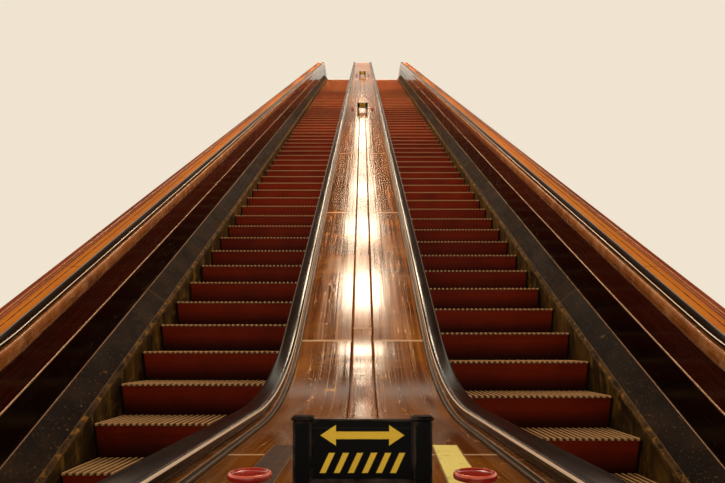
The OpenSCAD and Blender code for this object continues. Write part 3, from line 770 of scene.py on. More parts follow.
for flight, word in flights:
    node, joints = word + "_skirt_decks", jointsFrom(skirtDecks["joints"])
    deckParts, capParts = [], []
    for wall in (-1, 1):
        outline, mask = rounded(skirtDecks["outline"], 0.001, 1)
        deckParts += boardRun(onWall(outline, flight, wall), mask, joints, 0.003)
        outline, mask = rounded(skirtDecks["cap"], 0.0015, 1)
        capParts += boardRun(onWall(outline, flight, wall), mask, joints, 0.004)
    addPiece(word + "_skirt_deck_plates", deckParts, skirtDeckPaint, node)
    addPiece(word + "_skirt_caps", capParts, capPaint, node)
print("skirts made")

# Panels, beads and mouldings of the balustrades, each a section carried up the machine
panels = {"lower": rectangle(0.655, 0.667, 0.178, 0.394), "upper": rectangle(0.655, 0.667, 0.396, 0.568),
          "joints": (2.15,)}
beads = {"centre": (0.6553, 0.395), "radius": 0.0058, "joints": (2.15,)}
mouldings = {"outline": [(0.655, 0.568), (0.759, 0.568), (0.759, 0.618), (0.745, 0.618), (0.7275, 0.644),
                         (0.653, 0.645), (0.6475, 0.638), (0.646, 0.628), (0.646, 0.609), (0.6485, 0.594),
                         (0.6515, 0.579)],
             "strip": rectangle(0.7285, 0.7437, 0.619, 0.6447),
             "guide": rectangle(0.675, 0.709, 0.6452, 0.6502), "joints": (2.19,)}
enamelLook = {"dark": (4, 2, 1), "light": (13, 6, 3), "specular": 0.35, "rough": (0.14, 0.26),
              "contrast": 0.6, "tone": 0.3, "fineness": 0.4,
              "stains": [((25, 14, 8), 0.25, 3.0, 0.2, 0.5, 0.15)], "scratch": ((72, 51, 37), 0.4, 0.012),
              "bump": 0.12, "wave": 0.5, "waveSize": 3.0}
mahoganyLook = {"dark": (25, 5, 2), "light": (65, 20, 6), "rough": (0.16, 0.28), "contrast": 0.8,
                "tone": 0.25, "coat": 0.3, "bump": 0.15,
                "stains": [((20, 4, 2), 0.35, 3.0, 0.2, 0.5, 0.1)], "scratch": ((94, 45, 22), 0.3, 0.012),
                "wave": 0.4}
beadLook = {"dark": (141, 98, 65), "light": (195, 154, 118), "rough": (0.22, 0.38), "contrast": 0.6,
            "metallic": 0.35, "fineness": 0.3, "stains": [((94, 59, 35), 0.2, 12.0, 0.15, 0.5, 0.2)]}
# The moulding's two pale stains, (206, 152, 104) and (214, 168, 128), are painted highlights: light patches
# and fine speckles standing for reflections in its glossy varnish. The dark stain is dirt.
mouldingLook = {"dark": (130, 61, 14), "light": (185, 111, 43), "rough": (0.12, 0.26), "contrast": 0.7,
                "tone": 0.3, "coat": 0.4,
                "stains": [((54, 19, 6), 0.35, 8.0, 0.15, 0.6, 0.1),
                           ((206, 152, 104), 0.34, 9.0, 0.14, 0.55, 0.05),
                           ((214, 168, 128), 0.25, 60.0, 0.06, 0.5, 0.05)],
                "scratch": ((186, 138, 98), 0.45, 0.014), "bump": 0.4, "wave": 1.0, "waveSize": 90.0,
                "waveLong": 1.0, "wear": ((164, 114, 77), 0.25, 0.05)}
stripLook = {"dark": (34, 24, 15), "light": (74, 56, 38), "rough": (0.32, 0.48), "contrast": 0.7,
             "metallic": 0.4, "fineness": 0.4, "stains": [((22, 14, 8), 0.4, 9.0, 0.15, 0.6, 0.1)],
             "wear": ((104, 80, 56), 0.35, 0.0)}
blackEnamel = finish("blackEnamel", enamelLook)
mahogany = finish("mahogany", mahoganyLook)
beadMetal = finish("beadMetal", beadLook)
mouldingVarnish = finish("mouldingVarnish", mouldingLook)
stripMetal = finish("stripMetal", stripLook)
halfBead = circle(beads["centre"], beads["radius"], pi / 2, 3 * pi / 2, 7)
skirtBead = circle(*skirtDecks["bead"], count=8)
# piece, corners, rounding, whose joints, gap at a joint, steps of an arc, finish, slot, node
balustrade = (
    ("lower_panel_plates", panels["lower"], 0.001, panels, 0.002, 1, blackEnamel, "black_enamel",
     "lower_panels"),
    ("upper_panel_boards", panels["upper"], 0.001, panels, 0.002, 1, mahogany, "mahogany", "upper_panels"),
    ("half_beads", halfBead, 0, beads, 0.003, 1, beadMetal, "bead_metal", "beads"),
    ("skirt_beads", skirtBead, 0, skirtDecks, 0.003, 1, beadMetal, "bead_metal", "skirt_decks"),
    ("moulding_boards", mouldings["outline"], 0.004, mouldings, 0.0015, 2, mouldingVarnish, "moulding_wood",
     "mouldings"),
    ("edge_strips", mouldings["strip"], 0.0015, mouldings, 0.0015, 2, stripMetal, "bead_metal",
     "mouldings"),
    ("rail_guides", mouldings["guide"], 0.0008, mouldings, 0.002, 1, stripMetal, "bead_metal",
     "mouldings"))


# The same section on both sides of a flight
def bothWalls(corners, radius, joints, flight, gap, arc):
    outline, mask = rounded(corners, radius, arc)
    parts = []
    for wall in (-1, 1):
        parts += boardRun(onWall(outline, flight, wall), mask, jointsFrom(joints), gap)
    return parts


for flight, word in flights:
    for name, corners, radius, piece, gap, arc, material, slot, node in balustrade:
        addPiece(f"{word}_{name}", bothWalls(corners, radius, piece["joints"], flight, gap, arc), material,
                 f"{word}_{node}")
print("balustrades made")

# Handrails: a flattened oval (superellipse) carried round one newel, up the machine and round the other
handrail = {"half": (0.035, 0.0137), "middle": (0.692, 0.6638), "power": 2.7, "points": 36,
            "highlightAngle": 0.42, "crowd": 0.32, "line": 0.16}
# The rubber's line colour is a painted highlight: a pale line along one edge of each handrail, standing for
# the lamps mirrored in its rounded edge.
rubberLook = {"dark": (5, 3, 2), "light": (12, 8, 6), "rough": (0.15, 0.24), "contrast": 0.8,
              "fineness": 0.35, "stains": [((18, 12, 7), 0.4, 5.0, 0.2, 0.6, 0.06)], "bump": 0.0,
              "line": ((216, 186, 156), 0.3, 0.62), "specular": 0.35}
rubber = finish("rubber", rubberLook)
# The points crowd together at the highlight's angle, and the mask is a narrow line there, along the inner
# edge: the rubber's painted highlight, a pale line where the rounded edge would catch the lamps
angle = np.arange(handrail["points"]) / handrail["points"] * 2 * pi
off = angle - handrail["highlightAngle"]
angle = np.sort((angle - handrail["crowd"] * np.sin(2 * off) * (np.cos(off) > 0)) % (2 * pi))
railSection = np.stack([middle + half * np.sign(turn) * np.abs(turn) ** (2 / handrail["power"])
                        for middle, half, turn in zip(handrail["middle"], handrail["half"],
                                                      (np.cos(angle), np.sin(angle)))], 1)
railHighlightMask = np.exp(-((angle - handrail["highlightAngle"]) / handrail["line"]) ** 2)


# A handrail: the section on half circles round the lower newel, then square to the deck's line up the
# machine, then round the upper newel
def makeHandrail(flight, wall, name):
    middle = flight * machine["flightX"] + wall * handrail["middle"][0]
    inwards = -1 if middle > 0 else 1   # the painted highlight goes on the edge nearer the machine's middle
    section = np.stack([middle + inwards * (railSection[:, 0] - handrail["middle"][0]),
                        railSection[:, 1]], 1)
    turnsDown = np.linspace(pi, 0, 30)
    stations = np.concatenate([[0], stationsFrom(0, deckLength, 0.05, 0.5), [deckLength]])
    y, z = zip(newelPlaces(section[:, 1], turnsDown, -1), sectionPlaces(section[:, 1], stations),
               newelPlaces(section[:, 1], turnsDown[::-1], 1))
    y, z = np.concatenate(y), np.concatenate(z)
    rings = np.stack([np.broadcast_to(section[:, 0], y.shape), y, z], -1)
    walked = np.append(0, np.cumsum(np.linalg.norm(np.diff(rings[:, 0], axis=0), axis=1)))
    addPiece(name + "_strip", [skin(rings, walked, railHighlightMask[None])], rubber, name)


for flight, wall, name in ((-1, -1, "left_outer_handrail"), (-1, 1, "left_inner_handrail"),
                           (1, -1, "right_inner_handrail"), (1, 1, "right_outer_handrail")):
    makeHandrail(flight, wall, name)
print("handrails made")

# Centre deck: two wide boards and a narrow one between them, each with softened edges, over a bearer
centreDeck = {"board": rectangle(0.0515, 0.2968, 0.619, 0.640),
              "strip": rectangle(-0.0495, 0.0495, 0.619, 0.640),
              "bearer": rectangle(-0.066, 0.066, 0.600, 0.6185), "boardJoints": (0.584, 2.14, 4.31, 6.81),
              "stripJoints": (1.0, 2.27, 4.75), "spacing": 2.5, "edgeShare": 0.15}
# The deck's line colour is a painted highlight: a pale band across the boards at each joint, standing for
# the glint on the board ends; the strip boards take it too. The boards' long sides keep only a small share
# of their edge mask, which keeps that line off them.
deckLook = {"dark": (56, 21, 1), "light": (134, 73, 6), "rough": (0.1, 0.17), "tone": 0.3,
            "fineness": 1.5, "long": 2.6, "coat": 0.08, "coatRough": 0.07, "groove": 2.6, "pore": 0.03,
            "specular": 0.36,
            "stains": [((44, 15, 2), 0.4, 2.2, 0.2, 0.6, 0.06),
                       ((156, 96, 24), 0.25, 3.1, 0.2, 0.5, 0.04)],
            "scratch": ((190, 136, 70), 0.6, 0.018), "bump": 0.2, "wave": 1.0, "waveSize": 7.0,
            "waveLong": 0.04, "line": ((180, 144, 104), 0.5, 1.0)}
stripBoardLook = {**deckLook, "dark": (84, 36, 4), "light": (150, 82, 14)}
deckVarnish = finish("deckVarnish", deckLook)
stripVarnish = finish("stripVarnish", stripBoardLook)
outline, mask = rounded(centreDeck["board"], 0.0025, 2)
boardJoints = jointsFrom(centreDeck["boardJoints"], centreDeck["spacing"])
boards = []
for side in (-1, 1):
    boards += boardRun(outline * [side, 1], mask * centreDeck["edgeShare"], boardJoints, 0.0025, rim=0.02)
addPiece("centre_deck_boards", boards, deckVarnish, "centre_deck")
outline, mask = rounded(centreDeck["strip"], 0.002, 2)
stripJoints = jointsFrom(centreDeck["stripJoints"], centreDeck["spacing"])
addPiece("centre_strip_boards", boardRun(outline, mask * centreDeck["edgeShare"], stripJoints, 0.0025, rim=0.01),
         stripVarnish, "centre_deck_strip")
outline, mask = rounded(centreDeck["bearer"], 0.001, 1)
addPiece("centre_strip_bearer", boardRun(outline, mask, []), cheekIron, "centre_deck_strip")

# Outer decks: an orange varnished board in two widths with a groove between them, and the stepped
# red-brown trim along the wall
outerDeck = {"wide": rectangle(1.7855, 1.8585, 0.619, 0.640),
             "narrow": rectangle(1.8620, 1.8952, 0.619, 0.640),
             "under": rectangle(1.7860, 1.8950, 0.6175, 0.6300), "joints": (0.67, 3.11)}
wallTrim = {"outline": [(1.8965, 0.619), (1.966, 0.619), (1.966, 0.650), (1.930, 0.650), (1.926, 0.6465),
                        (1.9085, 0.6465), (1.8965, 0.6405)],
            "joints": (1.35, 3.79)}
orangeLook = {"dark": (160, 80, 2), "light": (196, 118, 10), "rough": (0.24, 0.38), "contrast": 0.35,
              "coat": 0.05, "specular": 0.16, "stains": [((151, 67, 5), 0.3, 4.0, 0.2, 0.5, 0.05)],
              "bump": 0.2, "wave": 0.6, "scratch": ((191, 129, 56), 0.3, 0.012),
              "wear": ((119, 51, 11), 0.2, 0.05)}
trimLook = {"dark": (80, 20, 1), "light": (142, 56, 4), "rough": (0.24, 0.38), "contrast": 0.9,
            "tone": 0.25, "coat": 0.05, "specular": 0.12,
            "stains": [((54, 14, 3), 0.35, 4.0, 0.2, 0.5, 0.05)], "bump": 0.2,
            "scratch": ((180, 122, 71), 0.3, 0.012), "wear": ((170, 114, 68), 0.4, 0.05)}
orangeVarnish = finish("orangeVarnish", orangeLook)
trimVarnish = finish("trimVarnish", trimLook)
wide, trims, under = [], [], []
for side in (-1, 1):
    for key in ("wide", "narrow"):
        outline, mask = rounded(outerDeck[key], 0.0022, 2)
        wide += boardRun(outline * [side, 1], mask, jointsFrom(outerDeck["joints"]), 0.002)
    outline, mask = rounded(outerDeck["under"], 0.001, 1)
    under += boardRun(outline * [side, 1], mask, [])
    outline, mask = rounded(wallTrim["outline"], 0.002, 2)
    trims += boardRun(outline * [side, 1], mask, jointsFrom(wallTrim["joints"]), 0.002)
addPiece("outer_deck_boards", wide, orangeVarnish, "outer_decks")
addPiece("outer_deck_battens", under, cheekIron, "outer_decks")
addPiece("wall_trim_boards", trims, trimVarnish, "wall_trims")
print("decks made")

# Newels: the round ends of the balustrades. The sections of the balustrades run on level to the newel's
# middle and then round it; staves close the top and the front, and a core fills the inside.
newel = {"blocks": ((-0.386, 0.386), (1.696, 1.966), (-1.966, -1.696)), "staves": 12, "gap": 0.003,
         "stave": (0.622, 0.640), "lid": 0.018, "face": 0.012, "front": 0.013, "core": 0.014,
         "inset": 0.02, "disc": 0.093, "rail": 0.0905, "plain": 0.0005, "entry": (0.077, 0.055, 0.05),
         "panels": (0.178, 0.395, 0.568)}
newelLook = {"dark": (54, 16, 4), "light": (112, 48, 17), "rough": (0.16, 0.3), "contrast": 0.9,
             "tone": 0.35, "coat": 0.35, "stains": [((43, 12, 4), 0.35, 4.0, 0.2, 0.5, 0.1)],
             "bump": 0.25, "wear": ((118, 66, 32), 0.1, 0.05)}
newelVarnish = finish("newelVarnish", newelLook)


# A balustrade's section as it stands where the balustrade is level
def levelled(outline, floor):
    return np.stack([outline[:, 0], floor + levelOf(outline[:, 1])], 1)


# The staves over one block of a newel, between a and b, and the level board behind them
def newelStaves(end, a, b, top):
    bottom, deck = newel["stave"]
    section, mask = rounded(rectangle(a, b, bottom, deck), 0.0015, 1)
    staves = []
    for k in range(newel["staves"]):
        start = k / newel["staves"] * pi
        staves.append(roundNewel(section, mask, start + newel["gap"],
                                 start + pi / newel["staves"] - newel["gap"], end, board=chance.random()))
    low, high = sorted((landing(end)[0], newelCentre(end)[0]))
    staves.append(block((a, low, top - newel["lid"]), (b, high, top), 0.0015, chance.random()))
    return staves


# A newel's side towards a flight, at x, with inward pointing into the newel and away from the flight: two
# black panels, a wooden one and a disc, the bead, the mouldings on the level and round the newel, and the
# box that the handrail enters
def newelWall(end, x, inward, parts):
    join, floor = landing(end)
    centreY, centreZ = newelCentre(end)
    radius, foot = machine["newelRadius"], floor + machine["floorRise"]
    low, high = sorted((join, centreY))
    near, far = sorted((x, x + inward * newel["face"]))
    kick, lower, upper = (floor + levelOf(h) for h in newel["panels"])
    for bottom, top in ((foot, kick - 0.001), (kick, lower - 0.001)):
        parts["black"].append(block((near, low, bottom), (far, high, top), 0.0015))
    parts["wood"].append(block((near, low, lower + 0.001), (far, high, upper), 0.0015, chance.random()))
    disc = circle((centreY, centreZ), radius - newel["disc"], -pi / 2, pi / 2, 19)
    disc[:, 0] = centreY + end * np.abs(disc[:, 0] - centreY)
    parts["wood"].append(bar(disc, near, far, "x", 0.0012, board=chance.random()))
    flight = -1 if x < 0 else 1
    beadLine = levelled(onWall(halfBead, flight, inward), floor)
    parts["bead"].append(bar(beadLine, low, high, "y", 0.0005))
    for key, soft, kind in (("outline", 0.004, "moulding"), ("strip", 0.0015, "guide"),
                            ("guide", 0.0008, "guide")):
        outline, mask = rounded(mouldings[key], soft, 2)
        outline = onWall(outline, flight, inward)
        parts[kind].append(bar(levelled(outline, floor), low, high, "y", 0.0008, mask, chance.random()))
        for k in range(3):
            parts[kind].append(roundNewel(outline, mask, k * pi / 3 + 0.002, (k + 1) * pi / 3 - 0.002, end,
                                          9, board=chance.random()))
    wide, deep, tall = newel["entry"]
    railX, entry = flight * machine["flightX"] + inward * machine["railX"], centreZ - radius - 0.002
    near, far = sorted((centreY, centreY + end * deep))
    parts["black"].append(block((railX - wide / 2, near, entry - tall),
                                (railX + wide / 2, far, entry), 0.004))


# The parts of a landing's newels, listed by finish. A newel has staves from a to b, which leave room for a
# handrail at each side towards a flight, a front below them and a core inside.
def newelParts(end):
    join, floor = landing(end)
    centreY, centreZ = newelCentre(end)
    foot, deck = floor + machine["floorRise"], floor + levelOf(height["deck"])
    radius, front, core = machine["newelRadius"], newel["front"], newel["core"]
    parts = {key: [] for key in ("staves", "black", "wood", "bead", "guide", "moulding")}
    for x0, x1 in newel["blocks"]:
        centre = x0 < 0 < x1
        a = x0 + newel["rail" if centre or x0 > 0 else "plain"]
        b = x1 - newel["rail" if centre or x0 < 0 else "plain"]
        parts["staves"] += newelStaves(end, a, b, deck)
        near, far = sorted((centreY, centreY - end * newel["face"]))
        parts["black"].append(block((x0 + front, near, foot),
                                    (x1 - front, far, centreZ - radius + 0.002), 0.002))
        side = np.concatenate([circle((centreY, centreZ), radius - newel["inset"], pi / 2,
                                      pi / 2 - end * pi, 17),
                               [(centreY, foot), (join, foot), (join, deck - newel["inset"])]])
        parts["black"].append(bar(side, x0 + core, x1 - core, "x", 0.0005))
        if centre or x0 > 0:
            newelWall(end, x0, 1, parts)
        if centre or x0 < 0:
            newelWall(end, x1, -1, parts)
    return parts


for end, word in ends:
    parts = newelParts(end)
    node = word + "_newels"
    for key, name, material, slot in (
            ("staves", "staves", newelVarnish, "newel_wood"), ("black", "cores", blackEnamel, "newel_wood"),
            ("wood", "side_panels", mahogany, "newel_wood"), ("bead", "beads", beadMetal, "bead_metal"),
            ("guide", "rail_guides", stripMetal, "bead_metal"),
            ("moulding", "mouldings", mouldingVarnish, "moulding_wood")):
        addPiece(word + "_newel_" + name, parts[key], material, node)
print("newels made")

# Floor plates: ribbed panels in a frame, with three screws down each side, and the pockets of the combs
floors = {"rib": 0.0125, "ribWidth": 0.006, "frame": 0.03, "columns": 4, "rows": {-1: 1, 1: 2},
          "thick": 0.025, "ribHigh": 0.003, "pocket": 0.5085, "screw": 0.006, "proud": 0.0002}
floorLook = {"dark": (96, 90, 82), "light": (158, 152, 142), "rough": (0.3, 0.5), "contrast": 0.6,
             "tone": 0.3, "fineness": 0.4, "metallic": 0.85,
             "stains": [((70, 62, 52), 0.45, 3.0, 0.2, 0.6, 0.15)],
             "scratch": ((196, 192, 184), 0.4, 0.014), "wear": ((190, 186, 178), 0.6, -0.08),
             "bump": 0.25}
combLook = {"dark": (140, 126, 96), "light": (196, 182, 150), "rough": (0.28, 0.42), "contrast": 0.5,
            "metallic": 0.9, "fineness": 0.4, "stains": [((110, 92, 64), 0.4, 6.0, 0.2, 0.6, 0.15)],
            "scratch": ((222, 214, 190), 0.4, 0.014), "wear": ((222, 212, 186), 0.6, -0.06), "bump": 0.25}
floorAlloy = finish("floorAlloy", floorLook)
comb = {"seat": 0.0994, "toothWidth": 0.0075, "half": 0.5075,
        "side": [(-0.0990, -0.017), (-0.0003, -0.017), (-0.0003, 0.0032), (0.238, 0.0032),
                 (0.240, 0.0042), (0.232, 0.0078), (-0.0990, 0.008)],
        "tooth": [(0.236, 0.0034), (0.296, -0.0055), (0.3, -0.004), (0.2985, 0.0005), (0.262, 0.0072),
                  (0.236, 0.0078)]}
combAlloy = finish("combAlloy", combLook)


# A countersunk screw head, its top level with zero
def screwPart():
    radius = floors["screw"]
    return turned([(0.0005, -0.004, 0), (radius * 0.6, -0.004, 0), (radius, -0.0006, 1),
                   (radius * 0.93, 0, 1), (radius * 0.35, 0, 0.3), (radius * 0.3, -0.001, 0),
                   (0.0005, -0.001, 0)], 12)


# A floor panel between two corners: four frame bars round a sunk middle, its ribs, and six screws' places
def floorPanel(x0, y0, x1, y1, level):
    frame, z0, tone = floors["frame"], level - 0.0065, chance.random()
    left, right, near, away = x0 + frame, x1 - frame, y0 + frame, y1 - frame
    w, h = floors["ribWidth"] / 2, floors["ribHigh"]
    parts = [block((a, b, z0), (c, d, level - sunk), soft, tone) for a, b, c, d, sunk, soft in (
        (x0, y0, x1, near, 0, 0.0015), (x0, away, x1, y1, 0, 0.0015),
        (x0, near, left, away, 0, 0.0015), (right, near, x1, away, 0, 0.0015),
        (left, near, right, away, h, 0.0005))]
    many = int((x1 - x0 - 2 * frame) / floors["rib"])
    x = x0 + frame + (np.arange(many) + 0.5) * (x1 - x0 - 2 * frame) / many
    rib = bar(np.array([(-w, 0), (w, 0), (w * 0.6, h), (-w * 0.6, h)]), near, away, "y", 0.0005,
              np.array([0, 0, 1, 1.0]))
    places = np.stack([x, 0 * x, 0 * x + level - 0.0031], 1)
    screws = [(x, y, level + floors["proud"]) for x in (x0 + frame / 2, x1 - frame / 2)
              for y in (y0 + frame / 2, (y0 + y1) / 2, y1 - frame / 2)]
    return parts, copies(rib, places, boards=np.full(many, tone)), screws


# A landing's floor: a base plate, strips that run on to the join between the comb plates' pockets, and
# panels in rows and columns
def makeFloor(end, word):
    join, floor = landing(end)
    level, flightX = floor + machine["floorRise"], machine["flightX"]
    far, seat = join + end * machine["landing"][end], join + end * comb["seat"]
    low, high = sorted((join + end * (comb["seat"] + 0.0006), far))
    half, under = machine["half"], level - floors["thick"]
    parts = [block((-half, low, under), (half, high, level - 0.006), 0.001)]
    inner, outer = flightX - floors["pocket"], flightX + floors["pocket"]
    near, away = sorted((join, seat))
    parts += [block((a, near, under), (b, away, level), 0.0012)
              for a, b in ((-half, -outer), (-inner, inner), (outer, half))]
    ribs, screws = [], []
    columns, rows = floors["columns"], floors["rows"][end]
    wide, long = 2 * half / columns, (high - low) / rows
    for i in range(columns):
        for j in range(rows):
            x0, y0 = -half + i * wide + 0.001, low + j * long + 0.001
            panel, panelRibs, places = floorPanel(x0, y0, x0 + wide - 0.002, y0 + long - 0.002, level)
            parts += panel
            ribs.append(panelRibs)
            screws += places
    node = word + "_floor_plate"
    addPiece(word + "_floor_panels", parts + ribs, floorAlloy, node)
    addPiece(word + "_floor_screws", [copies(screwPart(), screws)], stripMetal, node)


# Comb plates: a plate over the first steps with a row of teeth that dip between the slats. Their outlines
# are given as the distance past the join, towards the flights, and the height over the steps' level.
def makeCombs(end, word):
    join, floor = landing(end)
    plates, teeth, screws = [], [], []
    side, tooth = (np.array([(join - end * v, floor + z) for v, z in comb[key]])
                   for key in ("side", "tooth"))
    slatPitch = 2 * (steps["bodyHalf"] + 0.009) / steps["slats"]
    for flight, _ in flights:
        middle = flight * machine["flightX"]
        for x0, x1 in ((-comb["half"], -0.001), (0.001, comb["half"])):
            outline, mask = rounded(side, 0.001, 1)
            plates.append(bar(outline, middle + x0, middle + x1, "x", 0.001, mask, chance.random()))
            screws += [(middle + x, join - end * v, floor + machine["floorRise"] + floors["proud"])
                       for x in np.linspace(x0 + 0.04, x1 - 0.04, 4) for v in (-0.07, 0.17)]
        x = middle + (np.arange(steps["slats"] - 1) - (steps["slats"] - 2) / 2) * slatPitch
        w = comb["toothWidth"] / 2
        teeth.append(copies(bar(tooth, -w, w, "x", 0.001), np.stack([x, 0 * x, 0 * x], 1)))
    node = word + "_comb_plates"
    addPiece(word + "_combs", plates + teeth, combAlloy, node)
    addPiece(word + "_comb_screws", [copies(screwPart(), screws)], stripMetal, node)


for end, word in ends:
    makeFloor(end, word)
    makeCombs(end, word)
print("landings made")

# Stop signs: two square posts with caps and a board between them, with raised plain marks on its front
signs = {"y": (-1.374, 8.123, 15.469, 23.8768), "postX": 0.082, "post": (0.026, 0.022), "high": 0.141,
         "board": (0.0535, 0.1365), "thick": 0.010, "mark": 0.0012}
signLook = {"dark": (3, 2, 2), "light": (8, 7, 6), "rough": (0.28, 0.4), "contrast": 0.4, "fineness": 0.4,
            "bump": 0.15, "wear": ((58, 48, 40), 0.05, 0.1), "scratch": ((70, 60, 52), 0.3, 0.01),
            "specular": 0.07}
markLook = {"dark": (214, 168, 20), "light": (244, 204, 44), "rough": (0.4, 0.5), "contrast": 0.4,
            "bump": 0.15, "wear": ((120, 92, 20), 0.3, 0.1)}
signBlack = finish("signBlack", signLook)
markYellow = finish("markYellow", markLook)


# Where each sign stands, and the matrix that tilts it square to the deck there
def signPlace(index):
    y, level = signs["y"][index], index in (0, 3)
    z = y * tan(incline) + height["deck"] / cos(incline)
    z = levelOf(height["deck"]) + rise * (index == 3) if level else z
    c, s = (1.0, 0.0) if level else (cos(incline), sin(incline))
    return np.array([0, y, z]), np.array([[1, 0, 0], [0, c, -s], [0, s, c]])


signPlaces = [signPlace(i) for i in range(len(signs["y"]))]
signPoints, signTurns = np.array([p for p, t in signPlaces]), np.array([t for p, t in signPlaces])


# A mark: an outline in x and z on the front of the board, drawn out towards the lower landing
def markPart(outline):
    front = -signs["thick"] / 2
    return bar(np.asarray(outline, float), front - signs["mark"], front + 0.0005, "y", 0.0003, rim=0.001)


# Each post with its cap and foot, then the board and the rail under it
signParts = []
wide, deep = signs["post"]
high, (low, top), inside = signs["high"], signs["board"], signs["postX"] - 0.012
for x in (-signs["postX"], signs["postX"]):
    for more, z0, z1, soft in ((0, 0, high - 0.006, 0.002), (0.002, high - 0.006, high, 0.002),
                               (0.004, -0.001, 0.005, 0.0015)):
        signParts.append(block((x - wide / 2 - more, -deep / 2 - more, z0),
                               (x + wide / 2 + more, deep / 2 + more, z1), soft))
for half, z0, z1 in ((signs["thick"] / 2, low, top), (0.008, low - 0.004, low + 0.002)):
    signParts.append(block((-inside, -half, z0), (inside, half, z1), 0.0015))
addPiece("stop_sign_boards", [copies(p, signPoints, signTurns) for p in signParts], signBlack,
         "stop_signs")
arrow = [(-0.058, 0.115), (-0.036, 0.1295), (-0.036, 0.1205), (0.036, 0.1205), (0.036, 0.1295),
         (0.058, 0.115), (0.036, 0.1005), (0.036, 0.1095), (-0.036, 0.1095), (-0.036, 0.1005)]
marks = [markPart(arrow)] + [markPart([(x - 0.011, 0.0635), (x - 0.002, 0.0635), (x + 0.011, 0.0915),
                                       (x + 0.002, 0.0915)]) for x in np.linspace(-0.048, 0.048, 6)]
addPiece("stop_sign_marks", [copies(p, signPoints, signTurns) for p in marks], markYellow,
         "stop_signs")

# Buttons: a dished red head with a ring round it, in a black collar screwed to the deck
button = {"x": 0.185, "behind": 0.150,
          "head": [(0.0005, 0.0078, 0), (0.0072, 0.0078, 0), (0.008, 0.0086, 0), (0.008, 0.0192, 0),
                   (0.0330, 0.0192, 0), (0.0352, 0.0202, 0.2), (0.0360, 0.0225, 0.2),
                   (0.0360, 0.0262, 0.4), (0.0354, 0.0290, 1), (0.0340, 0.0306, 1), (0.0325, 0.0310, 1),
                   (0.0310, 0.0303, 0.6), (0.0300, 0.0287, 0.1), (0.0285, 0.0276, 0), (0.0240, 0.0272, 0),
                   (0.0150, 0.0266, 0), (0.0005, 0.0263, 0)],
          "collar": [(0.0005, 0.0, 0), (0.0215, 0.0, 0), (0.022, 0.0012, 1), (0.0215, 0.0072, 1),
                     (0.020, 0.0088, 1), (0.0106, 0.009, 1), (0.0100, 0.0084, 0.5), (0.0096, 0.0022, 0),
                     (0.0005, 0.0020, 0)]}
buttonLook = {"dark": (120, 14, 8), "light": (178, 34, 20), "rough": (0.1, 0.2), "contrast": 0.4,
              "coat": 0.5, "fineness": 0.3, "bump": 0.05,
              "stains": [((96, 12, 8), 0.3, 30.0, 0.2, 0.5, 0.1)], "wear": ((214, 90, 60), 0.3, 0.08)}
collarLook = {"dark": (12, 10, 9), "light": (26, 22, 20), "rough": (0.4, 0.55), "contrast": 0.4,
              "bump": 0.15, "wear": ((80, 66, 54), 0.3, 0.0)}
buttonRed = finish("buttonRed", buttonLook)
collarBlack = finish("collarBlack", collarLook)
head = boxMapped(turned(button["head"], 40))
collarShape = turned(button["collar"], 32)
collarPlaces, collarTurns = [], []
for index, (place, turn) in enumerate(signPlaces):
    for side, word in ((-1, "left"), (1, "right")):
        at = place + turn @ np.array([side * button["x"], button["behind"], 0])
        name = f"stop_button_{index + 1}_{word}"
        addPiece(name + "_head", [copies(head, [at], [turn], [chance.random()])], buttonRed,
                 name, body=name, soft=40)
        collarPlaces.append(at)
        collarTurns.append(turn)
addPiece("button_collar_rings", [copies(collarShape, collarPlaces, collarTurns)], collarBlack,
         "button_collars")

# Two thin bare plates on the lower deck, beside the sign
plateYellowLook = {"dark": (208, 184, 78), "light": (236, 216, 116), "rough": (0.35, 0.45),
                   "contrast": 0.5, "fineness": 0.5, "bump": 0.1,
                   "stains": [((150, 112, 30), 0.25, 20.0, 0.1, 0.6, 0.1)],
                   "wear": ((130, 92, 30), 0.5, 0.1)}
plateYellow = finish("plateYellow", plateYellowLook)
plateBrownLook = {"dark": (36, 17, 5), "light": (84, 48, 17), "rough": (0.35, 0.5), "specular": 0.25,
                  "contrast": 0.9, "stains": [((56, 30, 12), 0.5, 18.0, 0.12, 0.8, 0.1)], "bump": 0.2,
                  "wear": ((110, 72, 32), 0.35, 0.05)}
plateBrown = finish("plateBrown", plateBrownLook)
deckLevel = levelOf(height["deck"])
deckPlates = {"half": (0.031, 0.255), "thick": 0.0016, "y": -1.057, "x": 0.183, "turn": radians(2.9)}


# A plate on one side of the sign, turned about the upright axis
def deckPlate(side, turn):
    wide, long = deckPlates["half"]
    plate = block((-wide, -long, -0.0005), (wide, long, deckPlates["thick"]), 0.0008)
    c, s = cos(turn), sin(turn)
    return copies(plate, [(side * deckPlates["x"], deckPlates["y"], deckLevel)],
                  [[[c, s, 0], [-s, c, 0], [0, 0, 1]]])


addPiece("yellow_deck_plate", [deckPlate(1, deckPlates["turn"])], plateYellow, "centre_deck")
addPiece("brown_deck_plate", [deckPlate(-1, 0.0)], plateBrown, "centre_deck")
print("signs and buttons made")

